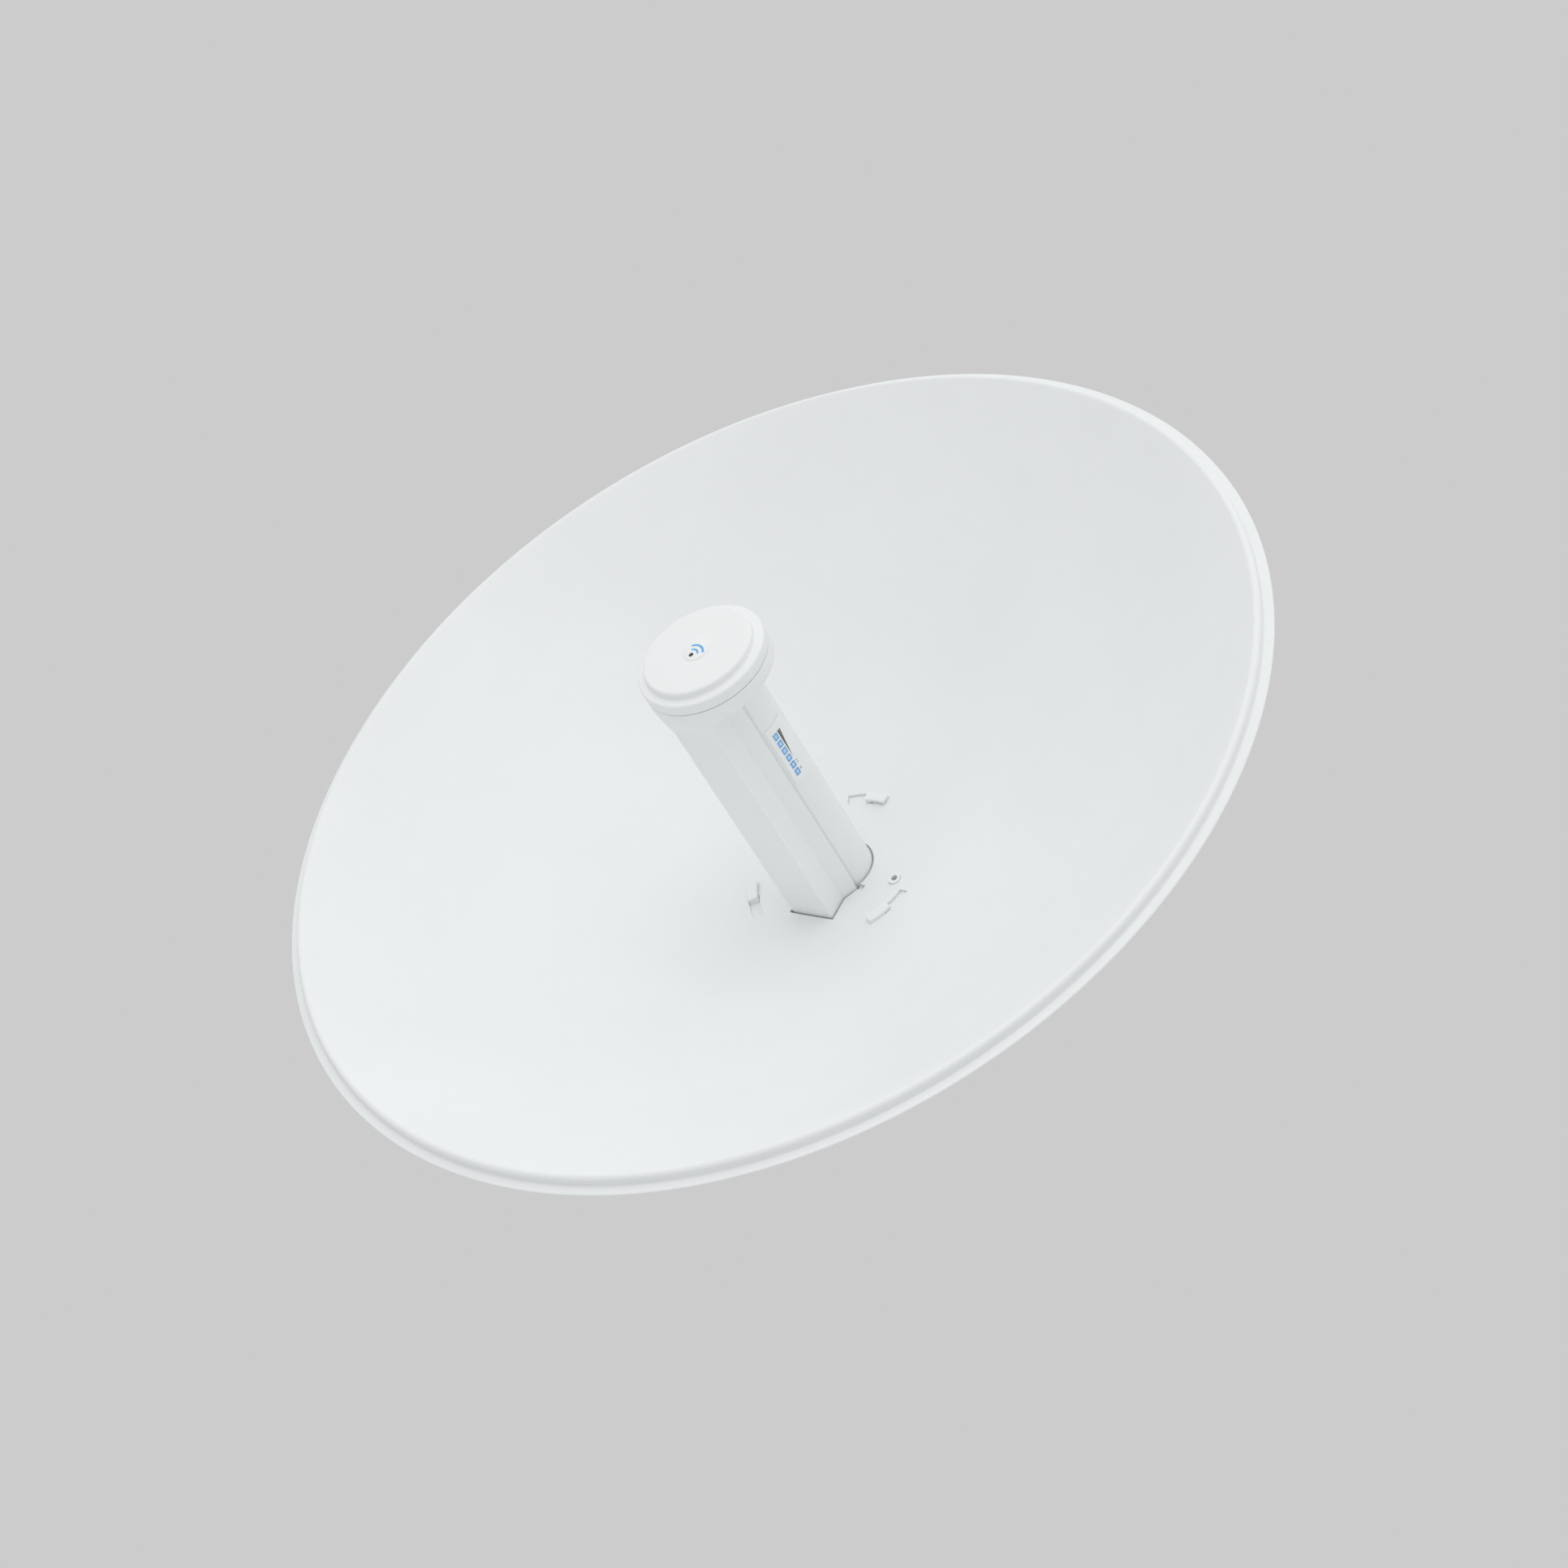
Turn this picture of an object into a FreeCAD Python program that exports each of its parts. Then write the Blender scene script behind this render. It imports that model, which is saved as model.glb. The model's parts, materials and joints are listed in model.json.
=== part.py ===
"""Dish antenna with a radio inside its feed, on a tilting pole bracket.

Millimetres, +Z up. The dish looks along -Y. The origin is on the pole's axis, at the middle of
the clamp. A "front" distance is measured from the origin towards -Y, along the dish's axis.
"""
import FreeCAD, Part
import os
import re
import Sketcher
from math import atan2, sqrt

PARTS = "parts"
doc = FreeCAD.newDocument("dish_antenna")
V = FreeCAD.Vector

# ---------------------------------------------------------------------------
# Driving dimensions: alias, value, meaning
# ---------------------------------------------------------------------------
SIZES = [
    # reflector
    ("focal_length", 190.8, "vertex of the bowl to its focus"),
    ("bowl_radius", 312.3, "where the parabola ends and the rim begins"),
    ("sheet_depth", 1.6, "sheet thickness, measured along the axis"),
    ("crest_radius", 2.8, "rounded crest of the rim"),
    ("crest_step", 3.0, "flange face behind the crest's centre"),
    ("flange_width", 6.2, "crest wall to the outer edge"),
    ("key_gap", 1.3, "gap between feed tube and the bowl's keyed hole"),
    ("notch_reach", 24.8, "half width of the keyed hole's corner notches"),
    # bayonet between bowl and hub
    ("hook_inner", 54.2, "inner radius of the bayonet hooks"),
    ("hook_outer", 60.4, "outer radius of the bayonet hooks"),
    ("hook_height", 2.3, "hook thickness"),
    ("hook_lift", 0.15, "gap under a hook"),
    ("slot_gap", 0.7, "slot edge to hook or post"),
    ("eyelet_reach", 44.8, "distance of the locking eyelets from the axis"),
    ("eyelet_radius", 4.1, "locking eyelet, outside"),
    ("eyelet_bore", 2.1, "locking eyelet, hole"),
    ("eyelet_rise", 1.4, "eyelet above the bowl"),
    # hub
    ("hub_depth", 40.0, "hub's back face to the back of the bowl"),
    ("hub_radius", 54.0, "hub's round body"),
    ("hub_wall", 4.0, "hub's side wall"),
    ("hub_back_wall", 6.0, "hub's back wall"),
    ("hub_front_wall", 3.4, "hub's front wall at the axis"),
    ("hub_flange_radius", 68.0, "hub's flange"),
    ("hub_flange", 5.0, "hub's flange thickness"),
    ("hub_gap", 0.1, "hub's front face behind the bowl"),
    ("socket_gap", 0.2, "feed tube in the hub's socket"),
    ("gasket_radius", 49.0, "inside of the hub gasket"),
    ("gasket_width", 3.0, "hub gasket across"),
    ("gasket_depth", 1.6, "hub gasket along the axis"),
    # cable chin and its door
    ("chin_half", 19.0, "half width of the chin under the hub"),
    ("chin_drop", 60.0, "chin's underside below the axis"),
    ("chin_depth", 31.0, "chin along the axis"),
    ("well_half", 12.0, "half width of the cable well"),
    ("well_depth", 16.5, "cable well along the axis"),
    ("door_thick", 2.4, "port door"),
    ("door_gap", 0.15, "door to chin"),
    ("door_pin_radius", 1.5, "door hinge pin"),
    ("door_knuckle", 3.0, "door hinge knuckle radius"),
    ("knuckle_half", 11.6, "half length of the door's knuckle"),
    ("hinge_ahead", 3.2, "door hinge in front of the chin"),
    ("running_gap", 0.05, "radial clearance of turning and sliding pairs"),
    ("grommet_neck", 5.0, "grommet neck in the door"),
    ("grommet_flange", 6.8, "grommet flange"),
    ("grommet_lip", 1.4, "grommet flange thickness"),
    ("cable_bore", 3.0, "hole for the network cable"),
    # release latch
    ("latch_thick", 5.0, "latch yoke along the axis"),
    ("latch_travel", 3.5, "press of the latch button"),
    ("latch_side", 23.4, "half opening of the yoke"),
    ("latch_bar", 4.0, "bar width of the yoke"),
    ("latch_stem_half", 7.0, "half width of the latch button"),
    ("latch_proud", 3.6, "button above the hub"),
    ("latch_tooth_half", 5.0, "half width of the latch tooth"),
    ("latch_bite", 1.6, "tooth into the feed's notch"),
    ("spring_radius", 3.0, "latch spring, coil radius"),
    ("spring_wire", 0.35, "latch spring, wire radius"),
    ("spring_turns", 5.0, "latch spring, turns"),
    # feed tube section
    ("floor_half", 15.9, "half width of the tube's flat floor"),
    ("floor_drop", 35.4, "tube floor below the axis"),
    ("waist_half", 14.4, "half width of the waist"),
    ("waist_drop", 19.5, "waist below the axis"),
    ("hip_half", 19.6, "half width of the hip"),
    ("hip_drop", 10.4, "hip below the axis"),
    ("groove_half", 17.2, "half width at the groove between the shells"),
    ("groove_drop", 7.0, "groove below the axis"),
    ("shoulder_drop", 6.2, "lower edge of the round back"),
    ("round_radius", 21.0, "round back of the tube"),
    ("round_lift", 3.3, "centre of the round back above the axis"),
    ("shell_wall", 2.0, "feed shell wall"),
    ("edge_round", 0.8, "rounding of the tube's long edges"),
    ("tail_gap", 1.0, "tube's tail to the hub's back wall"),
    # head of the feed
    ("head_ahead", 4.9, "head parting plane in front of the focus"),
    ("head_radius", 40.9, "head collar and cap flange"),
    ("collar_depth", 17.0, "collar behind the parting plane"),
    ("flare_depth", 8.0, "flare from collar to tube"),
    ("flare_radius", 25.0, "small end of the flare"),
    ("collar_wall", 3.1, "collar's side wall"),
    ("collar_floor", 3.0, "collar's floor"),
    ("floor_back", 6.0, "collar floor's back face in front of the collar's rear edge"),
    ("parting_gap", 0.5, "gap between collar and cap"),
    ("cap_flange", 7.5, "cap flange along the axis"),
    ("cap_rise", 4.8, "raised disc above the flange"),
    ("cap_disc", 35.2, "raised disc"),
    ("cap_wall", 2.2, "cap wall"),
    ("cap_skirt", 6.0, "cap skirt inside the collar"),
    ("seal_wire", 1.1, "cap seal, section radius"),
    ("badge_radius", 9.0, "badge on the cap"),
    ("badge_thick", 0.3, "badge thickness"),
    ("splash_radius", 31.0, "sub-reflector disc"),
    ("splash_thick", 1.2, "sub-reflector thickness"),
    ("antenna_radius", 31.0, "feed antenna board"),
    ("board_thick", 1.6, "circuit board thickness"),
    ("spacer_radius", 13.0, "spacer between antenna board and sub-reflector"),
    ("spacer_wall", 1.6, "spacer wall"),
    # radio
    ("board_half", 14.4, "half width of the radio board"),
    ("board_drop", 7.4, "top of the radio board below the axis"),
    ("board_tail_gap", 4.0, "radio board to the tube's tail"),
    ("ledge_reach", 11.8, "ledges that carry the board, half opening"),
    ("ledge_thick", 2.0, "ledge thickness"),
    ("shield_half", 11.0, "half width of the shield can"),
    ("shield_height", 6.0, "shield can height"),
    ("shield_length", 92.0, "shield can length"),
    ("shield_wall", 0.4, "shield can sheet"),
    ("spreader_half", 9.0, "half width of the heat spreader"),
    ("spreader_length", 70.0, "heat spreader length"),
    ("jack_half", 8.0, "half width of the network jack"),
    ("jack_depth", 13.5, "network jack along the axis"),
    ("jack_height", 16.0, "network jack below the board"),
    ("jack_start", 9.0, "tail of the tube to the jack"),
    ("mouth_half", 5.9, "half width of the jack's mouth"),
    ("mouth_depth", 8.4, "jack's mouth along the axis"),
    ("mouth_reach", 14.0, "depth of the jack's mouth"),
    ("reset_radius", 1.8, "reset button"),
    ("reset_ahead", 3.6, "reset button in front of the jack"),
    ("reset_travel", 0.8, "travel of the reset button"),
    ("switch_half", 3.0, "half width of the reset switch"),
    ("switch_height", 3.6, "reset switch below the board"),
    ("switch_gap", 0.3, "reset switch to its pressed button"),
    ("can_ahead", 20.0, "shield can and heat spreader in front of the jack"),
    ("spreader_base", 4.0, "heat spreader's base"),
    ("fin_pitch", 4.0, "fins of the heat spreader, spacing"),
    ("fin_thick", 2.0, "fin of the heat spreader"),
    ("fin_rise", 10.0, "fins above the spreader's base"),
    ("board_screw", 1.0, "board screw"),
    ("board_screw_gap", 0.1, "board screw in the board"),
    ("board_screw_side", 1.2, "board screws outside the ledges' edges"),
    ("board_screw_bite", 1.6, "board screw in its ledge"),
    ("board_screw_head", 1.9, "board screw head"),
    ("board_head_thick", 1.2, "board screw head thickness"),
    ("led_count", 6, "status lights"),
    ("led_pitch", 6.3, "status lights, spacing"),
    ("led_half", 2.1, "half length of a status light"),
    ("led_height", 3.0, "height of a status light"),
    ("led_first", 12.0, "first status light in front of the rim plane"),
    ("led_drop", 2.5, "underside of the status lights below the axis"),
    ("label_front", 20.4, "front end of the status label, in front of the rim plane"),
    ("label_length", 47.4, "status label along the tube"),
    ("label_thick", 0.6, "status label above the tube"),
    ("label_low", 5.6, "label's lower edge below the axis"),
    ("label_high", 10.5, "label's upper edge above the axis"),
    # pole bracket and clamp
    ("pole_radius", 21.0, "pole"),
    ("seat_reach", 10.0, "saddle tips to the pole's middle plane"),
    ("seat_half", 23.0, "half width of a saddle"),
    ("seat_wall", 7.0, "metal behind the saddle"),
    ("web_thick", 6.5, "bracket and jaw web"),
    ("web_half", 38.0, "half width of the web"),
    ("web_rise", 38.0, "half height of the bracket's web"),
    ("web_round", 6.0, "corner of a web"),
    ("jaw_rise", 18.0, "half height of the jaw"),
    ("clamp_bolt_reach", 30.0, "clamp bolts from the middle plane"),
    ("clamp_bolt_tail", 11.0, "clamp bolt ends in front of their nuts"),
    ("bolt_radius", 4.0, "eight-millimetre bolts"),
    ("bolt_gap", 0.5, "clamp bolt in its hole"),
    ("head_thick", 5.3, "bolt head"),
    ("head_round", 7.5, "bolt head, corner radius"),
    ("nut_thick", 6.8, "nut"),
    ("nut_flange", 1.6, "flange of a clamp nut"),
    ("washer_radius", 8.5, "washer"),
    ("washer_thick", 1.6, "washer"),
    # tilt joint
    ("ear_half", 13.5, "inside of the bracket's ears"),
    ("ear_thick", 5.0, "bracket's ear"),
    ("ear_gap", 0.3, "between the two brackets' ears"),
    ("plate_thick", 3.0, "tilt bracket sheet"),
    ("plate_rise", 36.0, "half height of the tilt bracket"),
    ("pivot_gap", 35.0, "web to tilt axis"),
    ("plate_gap", 23.0, "tilt axis to the tilt bracket's base"),
    ("pivot_lift", 17.0, "tilt axis above the dish's axis"),
    ("slot_radius", 34.0, "tilt axis to the locking bolt"),
    ("tilt_range", 20.0, "tilt each way, degrees"),
    ("lobe_radius", 12.0, "ear around the tilt axis"),
    ("lock_lobe", 9.0, "ear around the locking bolt"),
    ("slot_slack", 0.4, "locking bolt in its slot"),
    ("bush_radius", 7.0, "spacer tube between the ears"),
    ("hub_screw_side", 10.0, "hub screws from the middle plane"),
    ("hub_screw_rise", 29.0, "hub screws above and below the axis"),
    ("hub_screw_radius", 3.0, "hub screws"),
    ("hub_screw_head", 5.0, "hub screw heads"),
    ("hub_head_thick", 5.0, "height of a hub screw head"),
    ("hub_socket_round", 2.9, "socket of a hub screw, corner radius"),
    ("hub_socket_deep", 3.0, "socket of a hub screw"),
    ("ground_side", 31.5, "ground screw from the middle plane"),
    ("ground_rise", 27.0, "ground screw below the dish's axis"),
    ("ground_radius", 2.5, "ground screw"),
    ("ground_flange", 6.0, "ground screw flange"),
    ("ground_flange_thick", 1.2, "ground screw flange thickness"),
    ("ground_head", 4.8, "ground screw head, corner radius"),
    ("ground_head_thick", 3.5, "ground screw head height"),
    # small screws
    ("small_screw", 1.4, "self-tapping screw"),
    ("small_head", 2.6, "self-tapping screw head"),
    ("small_head_thick", 1.8, "self-tapping screw head thickness"),
    ("boss_depth", 9.0, "screw bosses behind the collar's floor"),
    ("low_boss_side", 9.0, "lower shell's bosses from the middle plane"),
    ("low_boss_rise", 6.0, "lower shell's screws above its underside"),
    ("low_boss_half", 4.0, "half width of a boss in the lower shell"),
    ("high_boss_side", 8.0, "upper shell's bosses from the middle plane"),
    ("high_boss_drop", 5.6, "upper shell's screws below its inside crown"),
    ("high_boss_half", 3.0, "half width of a boss in the upper shell"),
    ("high_boss_low", 3.4, "upper shell's boss below its screw"),
    ("high_boss_high", 4.6, "upper shell's boss above its screw"),
]

# Places that follow from the driving dimensions. "front" distances lie along -Y.
DERIVED = {
    "web_back": "pole_radius + seat_wall",
    "web_front": "web_back + web_thick",
    "pivot_front": "web_front + pivot_gap",
    "lock_lift": "pivot_lift - slot_radius",
    "plate_back": "pivot_front + plate_gap",
    "hub_back": "plate_back + plate_thick",
    "sheet_back": "hub_back + hub_depth",
    "vertex": "sheet_back + sheet_depth",
    "edge_slope": "bowl_radius / (2 * focal_length)",
    "edge_cos": "1 / sqrt(1 + edge_slope ^ 2)",
    "edge_sin": "edge_slope * edge_cos",
    "edge_front": "vertex + bowl_radius ^ 2 / (4 * focal_length)",
    "crest_front": "edge_front - crest_radius * edge_cos",
    "crest_middle": "bowl_radius + crest_radius * edge_sin",
    "rim_front": "crest_front - crest_step",
    "rim_radius": "crest_middle + crest_radius + flange_width",
    "hub_face": "sheet_back - hub_gap",
    "contact_radius": "(hook_inner + hook_outer) / 2",
    "cone_slope": "contact_radius / (2 * focal_length)",
    "cone_front": "hub_face + contact_radius ^ 2 / (4 * focal_length)",
    "cone_start": "gasket_radius - 4",
    "flange_front": "cone_front + cone_slope * (hub_flange_radius - contact_radius)",
    "flange_back": "flange_front - hub_flange",
    "cavity_back": "hub_back + hub_back_wall",
    "cavity_front": "hub_face - hub_front_wall",
    "cavity_radius": "hub_radius - hub_wall",
    "hook_base": "vertex + hook_outer ^ 2 / (4 * focal_length) + hook_lift",
    "hook_top": "hook_base + hook_height",
    "eyelet_top": "vertex + eyelet_reach ^ 2 / (4 * focal_length) + eyelet_rise",
    "tail": "cavity_back + tail_gap",
    "parting": "vertex + focal_length + head_ahead",
    "collar_back": "parting - collar_depth",
    "floor_face": "collar_back + floor_back",
    "floor_top": "floor_face + collar_floor",
    "cap_base": "parting + parting_gap",
    "cap_step": "cap_base + cap_flange",
    "cap_top": "cap_step + cap_rise",
    "shoulder_half": "sqrt(round_radius ^ 2 - (round_lift + shoulder_drop) ^ 2)",
    "inner_round": "round_radius - shell_wall",
    "inner_shoulder": "sqrt(inner_round ^ 2 - (round_lift + shoulder_drop) ^ 2)",
    "board_low": "board_drop + board_thick",
    "jack_back": "tail + jack_start",
    "jack_front": "jack_back + jack_depth",
    "jack_middle": "jack_back + jack_depth / 2",
    "jack_low": "board_low + jack_height",
    "chin_back": "hub_back + 2",
    "chin_front": "chin_back + chin_depth",
    "well_back": "jack_middle - well_depth / 2",
    "hinge_front": "chin_front + hinge_ahead",
    "hinge_drop": "chin_drop + door_gap + door_thick - door_knuckle",
    "latch_back": "tail + 1.5",
    "latch_front": "latch_back + latch_thick",
    "latch_low": "floor_drop + 1.2",
    "latch_high": "round_lift + round_radius + latch_travel + 0.6",
    "spring_length": "cavity_radius - latch_low - latch_bar - 0.6",
    "outer_ear": "ear_half + ear_thick + ear_gap",
    "ear_outside": "outer_ear + plate_thick",
    "clamp_nut_front": "web_front + nut_thick",
    "clamp_washer_back": "web_front + washer_thick",
}


def fill_sheet():
    """Write every driving dimension to a spreadsheet cell with its alias."""
    cells = doc.addObject("Spreadsheet::Sheet", "sizes")
    for row, (alias, value, meaning) in enumerate(SIZES, 1):
        cells.set(f"A{row}", meaning)
        cells.set(f"B{row}", str(value))
        cells.setAlias(f"B{row}", alias)
    doc.recompute()
    return cells


sheet = fill_sheet()
ALIASES = {alias for alias, value, meaning in SIZES}


def bind(text):
    """Turn a formula in plain names into an expression on the spreadsheet."""
    def expand(match):
        word = match.group(0)
        if word in ALIASES:
            return "sizes." + word
        if word in DERIVED:
            return "(" + bind(DERIVED[word]) + ")"
        return word
    return re.sub(r"[a-z][a-z_]*", expand, str(text))


def number(text):
    """The value of a formula at the present sizes."""
    value = sheet.evalExpression(bind(text))
    return float(getattr(value, "Value", value))


# ---------------------------------------------------------------------------
# Sketches and features bound to the sheet
# ---------------------------------------------------------------------------
def tie(sketch, kind, geometry, point, formula):
    """Fix a point's x or y at a formula."""
    axis = -2 if kind == "DistanceX" else -1
    if str(formula) == "0":
        sketch.addConstraint(Sketcher.Constraint("PointOnObject", geometry, point, axis))
        return
    index = sketch.addConstraint(
        Sketcher.Constraint(kind, -1, 1, geometry, point, number(formula)))
    sketch.setExpression(f"Constraints[{index}]", bind(formula))


def circle(x, y, radius):
    """A circle for a sketch."""
    return ("circle", x, y, radius)


def box(x0, y0, x1, y1):
    """A rectangle for a sketch, from its low corner to its high corner."""
    return [(x0, y0), (x1, y0), (x1, y1), (x0, y1)]


def hexagon(x, y, radius):
    """A hexagon for a sketch, with a corner above its centre."""
    side = f"(({radius}) * sqrt(3) / 2)"
    half = f"(({radius}) / 2)"
    return [(x, f"{y} + ({radius})"), (f"{x} - {side}", f"{y} + {half}"),
            (f"{x} - {side}", f"{y} - {half}"), (x, f"{y} - ({radius})"),
            (f"{x} + {side}", f"{y} - {half}"), (f"{x} + {side}", f"{y} + {half}")]


def sector(inner, outer, start, end):
    """A ring sector about the axis, between two angles in degrees."""
    def at(radius, angle):
        return (f"({radius}) * cos({angle})", f"({radius}) * sin({angle})")
    return [at(inner, start), at(outer, start), ("arc", outer, "left"),
            at(outer, end), at(inner, end), ("arc", inner, "right")]


def draw_circle(sketch, x, y, radius):
    """Add one bound circle."""
    centre = V(number(x), number(y), 0)
    index = sketch.addGeometry(Part.Circle(centre, V(0, 0, 1), number(radius)))
    tie(sketch, "DistanceX", index, 3, x)
    tie(sketch, "DistanceY", index, 3, y)
    bound = sketch.addConstraint(Sketcher.Constraint("Radius", index, number(radius)))
    sketch.setExpression(f"Constraints[{bound}]", bind(radius))


def arc_between(first, last, radius, turn):
    """The minor arc from first to last, turning left or right."""
    middle = (first + last) * 0.5
    along = last - first
    rise = sqrt(max(radius ** 2 - (along.Length / 2) ** 2, 0.0))
    side = V(-along.y, along.x, 0).normalize() * (rise if turn == "left" else -rise)
    centre = middle + side
    ends = (first, last) if turn == "left" else (last, first)
    angles = [atan2(p.y - centre.y, p.x - centre.x) for p in ends]
    return Part.ArcOfCircle(Part.Circle(centre, V(0, 0, 1), radius), angles[0], angles[1])


def draw_outline(sketch, items):
    """Add a closed outline of points, with ("arc", radius, turn) where an edge is an arc."""
    points, bends = [], []
    for item in items:
        if item[0] == "arc":
            bends[-1] = item[1:]
        else:
            points.append(item)
            bends.append(None)
    places = [V(number(x), number(y), 0) for x, y in points]
    edges = []
    for step, place in enumerate(places):
        following = places[(step + 1) % len(places)]
        if bends[step] is None:
            index = sketch.addGeometry(Part.LineSegment(place, following))
            edges.append((index, 1, 2))
        else:
            radius, turn = bends[step]
            index = sketch.addGeometry(arc_between(place, following, number(radius), turn))
            edges.append((index, 1, 2) if turn == "left" else (index, 2, 1))
    for step, (index, start, end) in enumerate(edges):
        following = edges[(step + 1) % len(edges)]
        sketch.addConstraint(
            Sketcher.Constraint("Coincident", index, end, following[0], following[1]))
    for (index, start, end), (x, y), bend in zip(edges, points, bends):
        tie(sketch, "DistanceX", index, start, x)
        tie(sketch, "DistanceY", index, start, y)
        if bend is not None:
            bound = sketch.addConstraint(
                Sketcher.Constraint("Radius", index, number(bend[0])))
            sketch.setExpression(f"Constraints[{bound}]", bind(bend[0]))


def origin_item(body, role):
    """One of the body's own origin planes or axes."""
    return next(item for item in body.Origin.OriginFeatures if item.Role == role)


def make_sketch(body, role, loops, offset):
    """A sketch on an origin plane of the body, moved along the plane's normal."""
    name = f"{body.Label}_sketch"
    sketch = body.newObject("Sketcher::SketchObject", name)
    sketch.AttachmentSupport = [(origin_item(body, role), "")]
    sketch.MapMode = "FlatFace"
    sketch.setExpression("AttachmentOffset.Base.z", bind(offset))
    for loop in loops:
        if loop[0] == "circle":
            draw_circle(sketch, *loop[1:])
        else:
            draw_outline(sketch, loop)
    return sketch


def new_body(label):
    """An empty body that becomes one sub-part."""
    body = doc.addObject("PartDesign::Body", label)
    body.Label = label
    if hasattr(body, "AllowCompound"):
        body.AllowCompound = True
    return body


# The normals of these planes: front is -Y, up is +Z, side is +X.
FRONT, UP, SIDE = "XZ_Plane", "XY_Plane", "YZ_Plane"


def pad(body, role, loops, start, end):
    """Add material between two distances along a plane's normal."""
    feature = body.newObject("PartDesign::Pad", f"{body.Label}_pad")
    feature.Profile = make_sketch(body, role, loops, start)
    feature.setExpression("Length", bind(f"({end}) - ({start})"))
    doc.recompute()
    return feature


def cut(body, role, loops, start, end):
    """Remove material between two distances along a plane's normal."""
    before = body.Shape.Volume
    feature = body.newObject("PartDesign::Pocket", f"{body.Label}_pocket")
    feature.Profile = make_sketch(body, role, loops, start)
    feature.Reversed = True
    feature.setExpression("Length", bind(f"({end}) - ({start})"))
    doc.recompute()
    if not body.Shape.Volume < before - 1e-3:
        raise ValueError(f"a pocket of {body.Label} removed nothing")
    return feature


def spin(body, loop, kind="Revolution"):
    """Turn an outline of (front, radius) points about the dish's axis."""
    before = body.Shape.Volume if kind == "Groove" else 0.0
    feature = body.newObject(f"PartDesign::{kind}", f"{body.Label}_{kind.lower()}")
    turned = [item if item[0] == "arc" else (f"-({item[0]})", item[1]) for item in loop]
    sketch = make_sketch(body, SIDE, [turned], "0")
    feature.Profile = sketch
    feature.ReferenceAxis = (sketch, ["H_Axis"])
    feature.Angle = 360
    doc.recompute()
    if kind == "Groove" and not body.Shape.Volume < before - 1e-3:
        raise ValueError(f"a groove of {body.Label} removed nothing")
    return feature


def round_edges(body, radius, chosen, kind="Fillet"):
    """Fillet or chamfer the edges of a body that a test picks out."""
    tip = body.Tip
    names = [f"Edge{n}" for n, edge in enumerate(tip.Shape.Edges, 1) if chosen(edge)]
    if not names:
        raise ValueError(f"no edge of {body.Label} to round")
    feature = body.newObject(f"PartDesign::{kind}", f"{body.Label}_{kind.lower()}")
    feature.Base = (tip, names)
    feature.setExpression("Radius" if kind == "Fillet" else "Size", bind(radius))
    doc.recompute()
    return feature


def middle_of(edge):
    """The point halfway along an edge."""
    return edge.valueAt((edge.FirstParameter + edge.LastParameter) / 2)


def runs_along(edge, axis):
    """Whether an edge is a straight line along an axis."""
    if edge.Curve.TypeId != "Part::GeomLine":
        return False
    return abs(edge.Curve.Direction.dot(axis)) > 0.999


def stack(label, role, places, layers):
    """A group of identical pieces: (shape, radius, start, end) layers at each place."""
    body = new_body(label)
    for shape, radius, start, end in layers:
        make = hexagon if shape == "hex" else circle
        pad(body, role, [make(x, y, radius) for x, y in places], start, end)
    return body


def bore(body, role, places, radius, start, end):
    """Round holes through a body."""
    return cut(body, role, [circle(x, y, radius) for x, y in places], start, end)


PIECES = []


def keep(piece):
    """Count a finished object among the sub-parts."""
    PIECES.append(piece)
    return piece


# ---------------------------------------------------------------------------
# Reflector
# ---------------------------------------------------------------------------
THIRDS = (90, 210, 330)
POST_START, POST_END = 3.5, 7.6
TAB_START, WINDOW_END = -7.5, 22.0


def thirds(make):
    """The same outline at the three bayonet angles."""
    return [make(angle) for angle in THIRDS]


def tube_key(gap, notched=False):
    """The feed tube's outline, widened by a gap, with square notches at the groove if asked."""
    hole_round = f"(round_radius + {gap})"
    side = f"sqrt({hole_round} ^ 2 - (round_lift + shoulder_drop) ^ 2)"
    notch = [("notch_reach", "-hip_drop"), ("notch_reach", "-groove_drop")]
    right = notch if notched else []
    left = [(f"-{x}", y) for x, y in reversed(right)]
    return [
        (f"-floor_half - {gap}", f"-floor_drop - {gap}"),
        (f"floor_half + {gap}", f"-floor_drop - {gap}"),
        (f"waist_half + {gap}", "-waist_drop"),
        (f"hip_half + {gap}", "-hip_drop"), *right,
        (side, "-shoulder_drop"), ("arc", hole_round, "left"),
        ("0", f"round_lift + {hole_round}"), ("arc", hole_round, "left"),
        (f"-{side}", "-shoulder_drop"), *left,
        (f"-hip_half - {gap}", "-hip_drop"),
        (f"-waist_half - {gap}", "-waist_drop"),
    ]


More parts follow.
